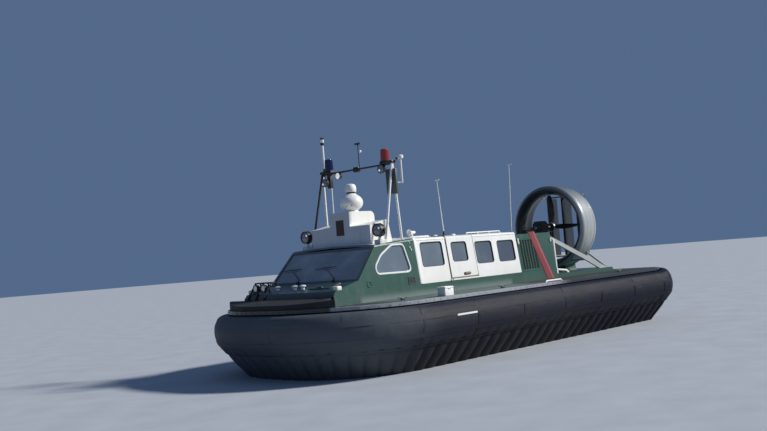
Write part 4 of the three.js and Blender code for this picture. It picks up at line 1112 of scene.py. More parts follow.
def row_of_copies() -> Recipe:
    """The mesh repeated in a straight row.

    Returns:
        The recipe.
    """
    tree = Recipe("row_of_copies", {"Count": Socket.COUNT, "Step": Socket.PLACE, "Finish": Socket.FINISH})
    line = tree.add(
        "GeometryNodeMeshLine", sockets={"Count": tree.given["Count"], "Offset": tree.given["Step"]},
    )
    copies = tree.add(
        "GeometryNodeInstanceOnPoints", sockets={"Points": line, "Instance": tree.given["Mesh"]},
    )
    return tree.end(copies)


def wheel_of_copies() -> Recipe:
    """The mesh, built about the origin, repeated round a fore-and-aft axis through a centre.

    Returns:
        The recipe.
    """
    tree = Recipe("wheel_of_copies", {"Count": Socket.COUNT, "Centre": Socket.PLACE, "Finish": Socket.FINISH})
    spots = tree.add(
        "GeometryNodePoints", sockets={"Count": tree.given["Count"], "Position": tree.given["Centre"]},
    )
    turn = tree.add("GeometryNodeInputIndex") * (2 * math.pi) / tree.given["Count"]
    facing = tree.add("FunctionNodeAxisAngleToRotation", sockets={"Axis": (1.0, 0.0, 0.0), "Angle": turn})
    copies = tree.add("GeometryNodeInstanceOnPoints", sockets={
        "Points": spots, "Instance": tree.given["Mesh"], "Rotation": facing,
    })
    return tree.end(copies)


def finger_folds() -> Recipe:
    """Presses the seams between skirt fingers inwards and makes their hems uneven.

    Returns:
        The recipe.
    """
    tree = Recipe("finger_folds", {
        "Depth": Socket.NUMBER, "Sharpness": Socket.NUMBER, "Flutter": Socket.NUMBER, "Seed": Socket.NUMBER,
        "Finish": Socket.FINISH,
    })
    weight = tree.named("groove")
    seam = abs(tree.named("share") * 2 - 1) ** tree.given["Sharpness"]
    uneven = tree.add("ShaderNodeTexNoise", {"noise_dimensions": "4D"}, {
        "W": tree.given["Seed"], "Scale": 2.3, "Detail": 2.0,
    })
    push = (uneven - 0.5) * tree.given["Flutter"] - seam * tree.given["Depth"] * weight
    shift = tree.add("ShaderNodeVectorMath", {"operation": "SCALE"}, {
        0: tree.named("outward", "FLOAT_VECTOR"), "Scale": push,
    })
    return tree.end(
        tree.add("GeometryNodeSetPosition", sockets={"Geometry": tree.given["Mesh"], "Offset": shift})
    )


class Track:
    """Lines on the craft, each point with the direction that it faces, for rows of fasteners."""

    def __init__(self) -> None:
        """Starts with no lines."""
        self.points: list[Vector] = []
        self.outward: list[Vector] = []
        self.edges: list[tuple[int, int]] = []

    def line(self, points: Iterable[Point], outward: Iterable[Point] | Point, closed: bool = False) -> Track:
        """Adds a line; outward is one direction or one for each point.

        Args:
            points: the line's points.
            outward: where they face.
            closed: whether the last joins the first.

        Returns:
            The track itself.
        """
        spots = [Vector(p) for p in points]
        faces = list(outward)
        if not hasattr(faces[0], "__len__"):
            faces = [faces] * len(spots)
        start = len(self.points)
        self.points += spots
        self.outward += [Vector(f) for f in faces]
        self.edges += [(start + i, start + i + 1) for i in range(len(spots) - 1)]
        if closed:
            self.edges.append((start + len(spots) - 1, start))
        return self

    def heads(self, name: str, spacing: float, radius: float, height: float, finish: Finish,
              body: str = "root", slot: str = "bare_alloy") -> bpy.types.Object:
        """Sets a row of heads on the lines.

        Args:
            name: the piece's name.
            spacing: metres from head to head.
            radius: of a head.
            height: of a head.
            finish: of the heads.
            body: that they ride on.
            slot: the record's material slot; not used.

        Returns:
            The piece.
        """
        mesh = bpy.data.meshes.new(name)
        mesh.from_pydata(self.points, self.edges, [])
        facing = mesh.attributes.new("outward", "FLOAT_VECTOR", "POINT")
        facing.data.foreach_set("vector", [c for v in self.outward for c in v])
        made = HEADS.run(name, mesh, Spacing=spacing, Radius=radius, Height=height, Finish=finish.material())
        return settle(made, body)


HEADS = row_of_heads()
ROW = row_of_copies()
WHEEL = wheel_of_copies()
FOLDS = finger_folds()


# The craft's plan


@dataclass(frozen=True)
class Station:
    """A place on the craft's widest line, seen from above."""

    x: float
    y: float
    nx: float
    ny: float
    share: float

    def at(self, inset: float, z: float) -> Vector:
        """The point a distance inside the line, at a height."""
        return Vector((self.x - self.nx * inset, self.y - self.ny * inset, z))


@dataclass(frozen=True)
class Plan:
    """Outline of the craft on the skirt's widest line, cut into fingers."""

    half_length: float = 6.05
    half_beam: float = 2.75
    bow_radius: float = 2.4
    stern_radius: float = 0.95

    def stations(self, per_finger: int) -> list[Station]:
        """Stations right round the craft.

        Args:
            per_finger: how many for each finger.

        Returns:
            The stations, from the starboard bow by way of the bow to port.
        """
        length, beam = self.half_length, self.half_beam
        bow_x, bow_y = length - self.bow_radius, beam - self.bow_radius
        stern_x, stern_y = self.stern_radius - length, beam - self.stern_radius
        # From point, to point, radius, from angle, to angle, fingers
        legs = (
            (bow_x, -bow_y, bow_x, -bow_y, self.bow_radius, -90, 0, 11),
            (length, -bow_y, length, bow_y, 0, 0, 0, 2),
            (bow_x, bow_y, bow_x, bow_y, self.bow_radius, 0, 90, 11),
            (bow_x, beam, stern_x, beam, 0, 90, 90, 26),
            (stern_x, stern_y, stern_x, stern_y, self.stern_radius, 90, 180, 4),
            (-length, stern_y, -length, -stern_y, 0, 180, 180, 11),
            (stern_x, -stern_y, stern_x, -stern_y, self.stern_radius, 180, 270, 4),
            (stern_x, -beam, bow_x, -beam, 0, 270, 270, 26),
        )
        found = []
        for x0, y0, x1, y1, radius, from_angle, to_angle, fingers in legs:
            for i in range(fingers * per_finger):
                share = i / (fingers * per_finger)
                angle = math.radians(lerp(from_angle, to_angle, share))
                nx, ny = math.cos(angle), math.sin(angle)
                x, y = lerp(x0, x1, share) + radius * nx, lerp(y0, y1, share) + radius * ny
                found.append(Station(x, y, nx, ny, (i % per_finger) / per_finger))
        return found


PLAN = Plan()


@dataclass
class Skirt:
    """Inflated bag with a finger skirt below it, its seam tapes and the bolts that hold it."""

    per_finger: int = 8
    fold_depth: float = 0.055
    fold_sharpness: float = 2.6
    flutter: float = 0.035
    stern_rise: float = 0.095
    seed: float = 7.0
    strip: Row = (2.7, 3.3, 0.965, 1.0)
    # First and last smoothed row of each band along the bag
    bands: Rows = ((4, 6), (12, 14), (19, 21), (27, 30))
    # Half stations from one band across the bag to the next, and its half width
    band_every: int = 9
    band_half: float = 0.028
    # Inset and height of the bolts
    bolts: Flat = (0.3, 1.298)
    # Inset from the widest line, height, share of the stern's rise, how deep the folds are
    bag: Rows = (
        (0.35, 1.215, 0.0, 0.0), (0.2, 1.238, 0.8, 0.0), (0.075, 1.168, 1.0, 0.0), (0.0, 0.94, 0.3, 0.0),
        (0.04, 0.7, 0.0, 0.05), (0.15, 0.54, 0.0, 0.25), (0.212, 0.478, 0.0, 0.45),
    )
    bag_inside: Rows = ((0.3, 0.52, 0.0, 0.3), (0.8, 0.6597, 0.0, 0.0), (0.3497, 1.1997, 0.0, 0.0))
    fingers: Rows = (
        (0.235, 0.52, 0.0, 0.5), (0.222, 0.48, 0.0, 0.6), (0.262, 0.41, 0.0, 0.85), (0.325, 0.325, 0.0, 1.0),
        (0.4, 0.235, 0.0, 1.0), (0.475, 0.155, 0.0, 1.0), (0.548, 0.072, 0.0, 0.95), (0.608, 0.0, 0.0, 0.9),
        (0.624, 0.0, 0.0, 0.9), (0.566, 0.076, 0.0, 0.95), (0.42, 0.24, 0.0, 1.0), (0.284, 0.408, 0.0, 0.85),
        (0.255, 0.52, 0.0, 0.5),
    )

    def lift(self, station: Station) -> float:
        """How far the skirt's top rises at a station, towards the stern."""
        return self.stern_rise * max(0.0, -station.nx)

    def smooth_rows(self, rows: Sequence[Sequence[float]], steps: int) -> list[list[float]]:
        """Rows of a profile with smooth ones put between them.

        Args:
            rows: the rows.
            steps: parts of the way from a row to the next.

        Returns:
            The rows, with the new ones.
        """
        found = []
        for i in range(len(rows) - 1):
            a, b = rows[max(i - 1, 0)], rows[i]
            c, d = rows[i + 1], rows[min(i + 2, len(rows) - 1)]
            for j in range(steps):
                t = j / steps
                found.append([between(*four, t) for four in zip(a, b, c, d)])
        found.append(list(rows[-1]))
        return found

    def wrap(self, name: str, rows: Sequence[Sequence[float]], finish: Finish) -> bpy.types.Object:
        """Carries a closed profile right round the craft and folds it between the fingers.

        Args:
            name: the object's name.
            rows: the profile.
            finish: its finish.

        Returns:
            The object, not yet settled.
        """
        stations = PLAN.stations(self.per_finger)
        points, share, groove, outward = [], [], [], []
        for station in stations:
            lift = self.lift(station)
            for inset, z, rise, depth in rows:
                points.append(station.at(inset, z + lift * rise))
                share.append(station.share)
                groove.append(depth)
                outward += [station.nx, station.ny, 0.0]
        count, total = len(rows), len(stations)
        faces = [(i * count + j, i * count + (j + 1) % count, (i + 1) % total * count + (j + 1) % count,
                  (i + 1) % total * count + j) for i in range(total) for j in range(count)]
        mesh = bpy.data.meshes.new(name)
        mesh.from_pydata(points, [], faces)
        for key, kind, values, field in (
            ("share", "FLOAT", share, "value"), ("groove", "FLOAT", groove, "value"),
            ("outward", "FLOAT_VECTOR", outward, "vector"),
        ):
            mesh.attributes.new(key, kind, "POINT").data.foreach_set(field, values)
        face_outwards(mesh)
        return FOLDS.run(name, mesh, Depth=self.fold_depth, Sharpness=self.fold_sharpness,
                         Flutter=self.flutter, Seed=self.seed, Finish=finish.material())

    def tapes(self) -> Shape:
        """Bands that cover the joints along the bag and across it.

        Returns:
            Their shape.
        """
        outer = self.smooth_rows(self.bag, 5)
        shape = Shape()
        stations = PLAN.stations(2)
        for first, last in self.bands:
            band = outer[first:last + 1]
            rings = []
            for station in stations:
                lift = self.lift(station)
                edge = [station.at(inset - 0.006, z + lift * rise) for inset, z, rise, _ in band]
                back = [station.at(inset + 0.012, z + lift * rise) for inset, z, rise, _ in reversed(band)]
                rings.append(edge + back)
            shape.loft(rings, closed=True)
        for station in stations[::self.band_every]:
            lift = self.lift(station)
            aside = Vector((-station.ny, station.nx, 0)) * self.band_half
            rings = []
            for inset, z, rise, _ in outer[2:-1]:
                near = station.at(inset - 0.005, z + lift * rise)
                far = station.at(inset + 0.02, z + lift * rise)
                rings.append([near - aside, near + aside, far + aside, far - aside])
            shape.loft(rings)
        return shape

    def build(self) -> None:
        """Makes the skirt's pieces."""
        bag_rows = self.smooth_rows(self.bag, 5) + [list(row) for row in self.bag_inside]
        bag = settle(self.wrap("skirt_bag", bag_rows, SKIRT_FABRIC), "root",
                     ("skirt_bow", "skirt_port", "skirt_stern", "skirt_starboard"), 50)
        settle(self.wrap("skirt_fingers", self.fingers, SKIRT_FABRIC), "root", (), 50)
        self.tapes().build("skirt_tapes", SEAM_TAPE, slot="rubber")
        flank = Plane((0, 2.752, 0), (1, 0, 0), (0, 0, 1), (0, 1, 0))
        Shape().plate(rectangle(*self.strip, 0.008), flank, 0, 0.008).mirrored().build(
            "skirt_pale_strips", TAPE_WHITE, slot="strake_grey",
        )
        stations = PLAN.stations(1)
        Track().line([s.at(*self.bolts) for s in stations], [(s.nx, s.ny, 0) for s in stations],
                     closed=True).heads("strake_bolts", 0.2, 0.011, 0.012, STRAKE_PAINT)


# Glazing and trim


@dataclass
class Glazing:
    """Side windows, their rubbers, the cab's pale frames, the windscreen's seal and its wipers."""

    # Aft x, fore x, bottom z, top z
    windows: Rows = ((1.81, 2.5, 1.9, 2.4), (0.105, 0.705, 1.86, 2.34), (-0.715, -0.095, 1.855, 2.325))
    screen: Rows = ((-1.262, 0.004), (1.262, 0.004), (1.186, 0.832), (-1.186, 0.832))
    seal: Rows = (
        (-0.03, -0.014), (-0.032, 0.0), (-0.022, 0.008), (0.004, 0.008), (0.014, 0.0), (0.012, -0.012),
    )
    door_window: Row = (1.0, 1.515, 1.95, 2.365)
    corner: float = 0.07
    cab_window: Rows = (
        (3.01, 2.39), (3.35, 2.39), (3.69, 2.205), (3.89, 1.985), (3.86, 1.85), (2.96, 1.84), (2.89, 1.89),
    )
    rubber: Rows = (
        (-0.009, -0.02), (-0.01, 0.001), (-0.004, 0.006), (0.003, 0.006), (0.007, 0.001), (0.002, -0.002),
    )
    frame: Rows = (
        (-0.012, -0.016), (-0.014, 0.005), (-0.006, 0.012), (0.018, 0.012), (0.026, 0.003), (0.024, -0.004),
    )

    def build(self) -> None:
        """Makes the glazing's pieces."""
        panes, rubbers = Shape(), Shape()
        for row in self.windows:
            outline = rectangle(*row, self.corner)
            panes.plate(outline, SIDE, -0.026, -0.018, 0.0005)
            rubbers.border(outline, SIDE, self.rubber)
        panes.mirrored().build("side_panes", GLASS, slot="tinted_glass")
        rubbers.mirrored().build("side_window_rubbers", GASKET, slot="black_parts")
        door = Shape().border(rectangle(*self.door_window, self.corner), SIDE, self.rubber)
        door.pair("door_rubber", GASKET, "door", "black_parts")
        cab = rounded(self.cab_window, 0.07, 5, closed=True)
        frames = Shape().border(cab, SIDE, self.frame).mirrored()
        frames.build("cab_window_frames", FRAME_WHITE, slot="white_paint")
        screen = rounded(self.screen, 0.05, 4, closed=True)
        seal = Shape().border(screen, SCREEN, self.seal)
        seal.build("windscreen_seal", SCREEN_SEAL, slot="black_parts")
        self.wipers().build("wipers", BLACK_ENAMEL, slot="black_parts")

    def wipers(self) -> Shape:
        """Two arms with blades, parked low on the glass.

        Returns:
            Their shape.
        """
        shape = Shape()
        for foot, tip in (((0.62, -0.05), (0.16, 0.36)), ((-0.42, -0.05), (-0.88, 0.36))):
            base = NOSE.at(foot[0], 0.03, 0.02)
            shape.lathe([(0, -0.02), (0.028, -0.02), (0.028, 0.02), (0.016, 0.03), (0, 0.03)], base, sides=14)
            arm = [base, SCREEN.at(foot[0], 0.06, 0.035), SCREEN.at(*tip, 0.03)]
            shape.tube(arm, [0.012, 0.01, 0.006], 8)
            shape.tube([SCREEN.at(tip[0] + 0.3, tip[1] + 0.02, 0.012), SCREEN.at(tip[0], tip[1], 0.016),
                        SCREEN.at(tip[0] - 0.3, tip[1] - 0.02, 0.012)], [0.006, 0.009, 0.006], 8)
        return shape


@dataclass
class CabTrim:
    """Small fittings of the cab, the nose and the bow."""

    lamp_x: float = 4.93
    rail_y: Row = (1.2, 0.95, 0.7)
    rail_top: float = 1.83
    rail_x: Row = (5.165, 4.89, 4.76)
    bow_lamps: Rows = ((4.98, -1.08, 1.73), (4.98, -0.83, 1.73))

    def side_fittings(self) -> None:
        """Hand-hole rims, louvred recess and clips on the cab's sides."""
        handle = Shape()
        handle.border(rectangle(4.075, 4.185, 1.612, 1.725, 0.05), SIDE,
                      ((-0.01, -0.004), (-0.01, 0.009), (0.004, 0.009), (0.01, 0.0), (0.008, -0.004)))
        handle.mirrored().build("cab_handles", GREEN_PAINT, slot="green_paint")
        vent = Shape()
        fore, aft, low, high = 3.01, 2.82, 1.575, 1.72
        vent.border(rectangle(aft, fore, low, high, 0.015), SIDE,
                    ((-0.008, -0.004), (-0.008, 0.01), (0.006, 0.01), (0.012, 0.0), (0.01, -0.004)))
        for i in range(5):
            v = low + 0.017 + i * 0.027
            vent.loft([[SIDE.at(u, v, 0.001), SIDE.at(u, v + 0.004, 0.001), SIDE.at(u, v + 0.02, 0.011),
                        SIDE.at(u, v + 0.016, 0.011)] for u in (aft - 0.003, fore + 0.003)])
        vent.plate(rectangle(aft - 0.005, fore + 0.005, low - 0.005, high + 0.005, 0.012), SIDE, -0.003,
                   0.0015, 0.0005)
        vent.mirrored().build("cab_vents", VENT_GREEN, slot="green_paint")
        clips = Shape()
        for u, v in ((2.816, 2.318), (2.788, 2.272)):
            clips.plate(
                rectangle(u - 0.014, u + 0.014, v - 0.018, v + 0.018, 0.008), SIDE, -0.002, 0.018, 0.006,
            )
        clips.tube([SIDE.at(2.828, 2.445, 0.004), SIDE.at(2.793, 2.407, 0.008)], 0.007, 8)
        clips.mirrored().build("cab_clips", MAST_WHITE, slot="white_paint")

    def nose_fittings(self) -> None:
        """Lamps, side lights, vents and the hatch on the nose."""
        lamps = Shape()
        lamps.block((self.lamp_x - 0.07, 1.2, 1.615), (self.lamp_x + 0.07, 1.335, 1.7), 0.022)
        lamps.mirrored().build("nose_lamps", CREAM, slot="white_paint")
        for side, name, lens in ((1, "port", SIDE_RED), (-1, "starboard", SIDE_GREEN)):
            light = Shape()
            low, high = sorted((side * 1.12, side * 1.3))
            light.block((5.094, low, 1.345), (5.125, high, 1.515), 0.01)
            light.paint = 1
            light.block((5.11, low + 0.02, 1.365), (5.168, high - 0.02, 1.495), 0.024)
            light.build(f"side_light_{name}", (BLACK_ENAMEL, lens),
                        slot="red_lens" if side > 0 else "black_parts")
        vents = Shape()
        mushroom = [
            (0, -0.03), (0.035, -0.03), (0.035, 0.035), (0.06, 0.045), (0.066, 0.06), (0.05, 0.078),
            (0, 0.086),
        ]
        for y, up in ((-0.63, 0.4), (-0.1, 0.4), (0.14, 0.4)):
            vents.lathe(mushroom, NOSE.at(y, up), sides=20)
        vents.build("nose_vents", FRAME_WHITE, slot="white_paint")
        hatch = Shape()
        hatch.plate(rectangle(0.36, 0.94, 0.08, 0.46, 0.05), NOSE, -0.004, 0.016, 0.006)
        hatch.block(NOSE.at(0.58, 0.4, 0.005), NOSE.at(0.72, 0.425, 0.04), 0.008)
        hatch.build("nose_hatch", NOSE_PAINT, slot="green_paint")

    def basket(self) -> None:
        """Tube basket on the bow, with its lamps."""
        (fore, mid, aft), top = self.rail_x, self.rail_top
        shape = Shape()
        for y in self.rail_y:
            path = [(fore, -y, 1.46), (mid, -y, top), (aft, -y, top), (aft, -y, 1.655)]
            shape.tube(rounded(path, 0.05), 0.016, 12)
        for x, z, radius in (
            (mid + 0.01, top, 0.014), (aft, top, 0.014), (mid + 0.125, 1.66, 0.012), (aft, 1.75, 0.01),
        ):
            shape.tube([(x, -self.rail_y[0], z), (x, -self.rail_y[2], z)], radius, 10)
        for x, y, z in self.bow_lamps:
            shape.lathe([(0, -0.09), (0.05, -0.08), (0.075, -0.03), (0.075, 0.03), (0.066, 0.034),
                         (0.06, 0.02), (0, 0.015)], (x, y, z), Axis.FORE, 20)
            shape.tube([(x - 0.03, y, z - 0.06), (x - 0.03, y, z - 0.12)], 0.014, 10)
        shape.build("bow_basket", BLACK_ENAMEL, slot="black_parts", replaces=("bow_rail",))
        lens = Shape()
        for centre in self.bow_lamps:
            lens.lathe(
                [(0, 0.0), (0.06, 0.012), (0.06, 0.022), (0.03, 0.034), (0, 0.038)], centre, Axis.FORE, 20,
            )
        lens.build("bow_lamp_lenses", CLEAR_LENS, slot="tinted_glass")

    def build(self) -> None:
        """Makes the trim's pieces."""
        self.side_fittings()
        self.nose_fittings()
        self.basket()


@dataclass
class Cabin:
    """Door seams and handles, and the cabin's rails, horn, lamps, hatch and gutters."""

    fore: float = 1.66
    aft: float = 0.75
    sill: float = 1.615
    hinge_y: float = 0.85
    rail_x: Row = (-0.7, -0.29, 0.13, 0.54)
    rail_y: float = 0.9
    horn: Flat = (2.34, 0.9)
    # Aft and fore x of each gutter
    gutters: Rows = ((-0.83, 0.74), (1.675, 2.655))

    def over_roof(
        self, x: float, out: float, foot: float | None = None, last: float | None = None,
    ) -> list[Vector]:
        """A line on the cabin's skin from a foot over the eaves to a place on the roof.

        Args:
            x: the line's place.
            out: how far it stands off the skin.
            foot: height of its foot; the sill without it.
            last: how far in it ends; the hinge without it.

        Returns:
            The line's points.
        """
        wide = side_y(EAVES_Z)
        end = self.hinge_y if last is None else last
        line = [SIDE.at(x, z, out) for z in (self.sill if foot is None else foot, 1.9, 2.2, 2.44)]
        line += [Vector((x, wide * share, EAVES_Z + up + out))
                 for share, up in ((0.995, 0.022), (0.965, 0.04))]
        line += [Vector((x, y, roof_z(y) + out)) for y in (1.1, 1.0, 0.85, 0.5, 0.2, 0.0) if y >= end]
        return line

    def build(self) -> None:
        """Makes the cabin's pieces."""
        seam = Shape()
        seam.tube(self.over_roof(self.fore + 0.008, 0.0), 0.017, 8)
        corner = (self.fore + 0.008, self.sill - 0.008)
        loop = [SIDE.at(corner[0] + 0.035 * math.sin(a), corner[1] - 0.035 + 0.035 * math.cos(a), 0.004)
                for a in (math.radians(d) for d in range(0, 301, 30))]
        seam.tube(loop, 0.008, 8)
        seam.paint = 1
        seam.tube([SIDE.at(u, self.sill - 0.008, 0.0) for u in (self.aft - 0.01, self.fore + 0.01)], 0.012, 8)
        seam.paint = 2
        seam.tube(self.over_roof(self.aft - 0.004, 0.0), 0.005, 8)
        seam.mirrored().build("door_seals", (FRONT_SEAL, SILL_SEAL, AFT_SEAL), slot="interior")
        handle = Shape()
        handle.plate(rectangle(1.015, 1.235, 1.648, 1.708, 0.02), SIDE, -0.002, 0.006, 0.002)
        handle.plate(rectangle(1.026, 1.224, 1.657, 1.699, 0.018), SIDE, 0.004, 0.034, 0.008)
        handle.pair("door_handle", HANDLE_GREY, "door", "black_parts")
        band = Shape()
        lines = [self.over_roof(x, out, 1.565, 0.0)
                 for x, out in ((2.6, -0.004), (2.6, 0.008), (2.61, 0.013), (2.65, 0.013), (2.668, 0.004),
                                (2.668, -0.004))]
        band.loft(list(zip(*lines)))
        band.mirrored().build("cabin_front_band", WHITE_PAINT, slot="white_paint")
        self.roof()

    def roof(self) -> None:
        """Makes the roof's rails, horn, hatch and gutters, and the corner lamps."""
        rails = Shape()
        first, *inner, last = self.rail_x
        y, foot = self.rail_y, roof_z(self.rail_y)
        top = foot + 0.04
        path = [(first, y, top - 0.045), (first, y, top), (last, y, top), (last, y, top - 0.045)]
        rails.tube(rounded(path, 0.03), 0.013, 10)
        for x in inner:
            rails.tube([(x, y, top - 0.045), (x, y, top)], 0.01, 8)
        for x in self.rail_x:
            rails.lathe(
                [(0, -0.004), (0.03, -0.004), (0.03, 0.004), (0.02, 0.008), (0, 0.008)], (x, y, foot),
                sides=14,
            )
        rails.mirrored().build("roof_rails", MAST_WHITE, slot="white_paint")
        horn = Shape()
        z = roof_z(self.horn[1])
        horn.lathe([(0, -0.01), (0.06, -0.01), (0.06, 0.012), (0.022, 0.02), (0.022, 0.09), (0, 0.09)],
                   (*self.horn, z), sides=20)
        horn.lathe([(0, -0.09), (0.03, -0.085), (0.034, 0.0), (0.05, 0.06), (0.07, 0.085), (0.064, 0.085),
                    (0.04, 0.05), (0.02, 0.0), (0, -0.01)], (*self.horn, z + 0.115), Axis.FORE, 20)
        horn.build("roof_horn", MAST_WHITE, slot="white_paint")
        lamp = Shape()
        lamp.plate(rectangle(-0.925, -0.875, 2.2, 2.34, 0.02), SIDE, -0.004, 0.03, 0.01)
        lamp.mirrored().build("cabin_corner_lamps", CREAM, slot="white_paint")
        hatch = Shape()
        hatch.plate(rectangle(1.1, 1.75, -0.32, 0.32, 0.06), level(2.535), -0.01, 0.032, 0.012)
        hatch.build("roof_hatch", WHITE_PAINT, slot="white_paint")
        gutter = Shape()
        for ends in self.gutters:
            gutter.tube([(x, side_y(EAVES_Z) + 0.003, EAVES_Z - 0.002) for x in ends], 0.009, 8)
        gutter.mirrored().build("roof_gutters", WHITE_PAINT, slot="white_paint")


# Roof equipment


@dataclass
class RoofEquipment:
    """Plate of the fairing, the camera turret and the searchlights."""

    turret: Row = (3.15, 0.0, 3.15)
    light: Row = (3.49, 1.085, 2.712)
    post_top: float = 2.562
    yoke: float = 0.138
    # Half width, half height and height of the middle of the turret's ball
    ball: Row = (0.245, 0.19, 0.2)
    # Turn in degrees, height and radius of the ball's ports
    ports: Rows = ((18.6, 0.123, 0.013), (45.5, 0.134, 0.013), (30, 0.045, 0.014))

    def build(self) -> None:
        """Makes the equipment's pieces."""
        front = Plane((3.54, 0, 0), (0, 1, 0), (0, 0, 1), (1, 0, 0))
        plate = Shape().plate(rectangle(-0.11, 0.12, 2.67, 2.99, 0.012), front, -0.002, 0.008, 0.003)
        plate.build("fairing_plate", DARK_BROWN, slot="black_parts")
        self.build_turret()
        for side, name in SIDES:
            self.build_light(side, name)

    def build_turret(self) -> None:
        """Makes the camera turret."""
        ball = Shape()
        wide, half, middle = self.ball
        base = [(0, 0.002), (0.135, 0.002), (0.14, 0.012), (0.135, 0.03), (0.128, 0.034)]
        arc = [(wide * math.cos(a), middle + half * math.sin(a))
               for a in (math.radians(d) for d in range(-58, 62, 8))]
        ball.lathe([*base, *arc, (0.1, 0.392), (0.0, 0.396)], self.turret, sides=48)
        neck = [(0, 0.38), (0.09, 0.38), (0.088, 0.392), (0.084, 0.396), (0.084, 0.408), (0.09, 0.412),
                (0.09, 0.425), (0, 0.425)]
        ball.paint = 1
        ball.lathe(neck, self.turret, sides=36)
        ball.paint = 0
        head = [(0, 0.42), (0.112, 0.425), (0.121, 0.44), (0.123, 0.5), (0.117, 0.548), (0.1, 0.578),
                (0.06, 0.598), (0, 0.606)]
        ball.lathe(head, self.turret, sides=40)
        ball.paint = 1
        x, y, z = self.turret
        for degrees, rise, radius in self.ports:
            turn = math.radians(degrees)
            reach = wide * math.sqrt(1 - ((rise - middle) / half) ** 2) - 0.004
            out = Vector((math.cos(turn), math.sin(turn), 0))
            face = Plane(
                (x + reach * out.x, y + reach * out.y, z + rise), (-out.y, out.x, 0), (0, 0, 1), tuple(out),
            )
            ball.plate(rectangle(-radius, radius, -radius, radius, radius * 0.95), face, -0.01, 0.007, 0.003)
        ball.build("turret_body", (FAIRING_WHITE, BLACK_ENAMEL), "camera_turret", "white_paint",
                   ("camera_turret",))

    def build_light(self, side: int, name: str) -> None:
        """Makes one searchlight.

        Args:
            side: 1 to port, -1 to starboard.
            name: the side's name.
        """
        x, y, z = self.light
        y *= side
        centre = (x, y, z)
        shape = Shape()
        shell = [
            (0, -0.112), (0.045, -0.108), (0.085, -0.088), (0.112, -0.05), (0.124, 0.0), (0.124, 0.062),
            (0.131, 0.066), (0.131, 0.084), (0.118, 0.086), (0.114, 0.07), (0.1, 0.02), (0.05, -0.03),
            (0, -0.045),
        ]
        shape.lathe(shell, centre, Axis.FORE, 36)
        for i in range(4):
            at = -0.075 + i * 0.022
            shape.lathe([(0.06, at), (0.1 + i * 0.008, at), (0.1 + i * 0.008, at + 0.006),
                         (0.06, at + 0.006)], (x, y, z + 0.012), Axis.FORE, 24)
        shape.tube([(x, y, self.post_top + 0.002), (x, y, z - 0.125)], 0.022, 14)
        arms = [(x, y - self.yoke, z), (x, y - self.yoke, z - 0.1), (x, y, z - 0.135),
                (x, y + self.yoke, z - 0.1), (x, y + self.yoke, z)]
        shape.tube(rounded(arms, 0.05), 0.011, 10)
        for out in (-self.yoke, self.yoke):
            shape.lathe(
                [(0, -0.014), (0.02, -0.014), (0.02, 0.014), (0, 0.014)], (x, y + out, z), Axis.PORT, 14,
            )
        shape.paint = 1
        shape.lathe([(0, -0.045), (0.05, -0.028), (0.098, 0.022), (0.112, 0.066), (0.1, 0.03), (0.04, -0.02),
                     (0, -0.03)], centre, Axis.FORE, 36)
        shape.paint = 2
        shape.lathe(
            [(0, 0.058), (0.114, 0.062), (0.114, 0.07), (0.07, 0.084), (0, 0.09)], centre, Axis.FORE, 36,
        )
        shape.paint = 3
        glint = (x, y + 0.055, z + 0.035)
        shape.lathe([(0, 0.068), (0.026, 0.072), (0.02, 0.086), (0, 0.089)], glint, Axis.FORE, 18)
        shape.paint = 1
        for turn in (0.6, 2.2, 3.9, 5.3):
            spoke = [(x + lift, y + reach * math.cos(turn), z + reach * math.sin(turn))
                     for reach, lift in ((0.022, 0.088), (0.065, 0.084), (0.105, 0.07))]
            shape.tube(spoke, [0.004, 0.009, 0.005], 8)
        finishes = (BLACK_ENAMEL, ALLOY, GREY_LENS, GLINT_LENS)
        shape.build(f"searchlight_head_{name}", finishes, f"searchlight_{name}", "black_parts",
                    (f"searchlight_{name}",))


class MastFinish(IntEnum):
    """Paint numbers of the mast's fittings."""

    BLACK = 0
    CLEAR = 1
    WHITE = 2
    # Painted glint of the sun on a lens
    GLINT = 3
    GREY = 4
    GREEN = 5


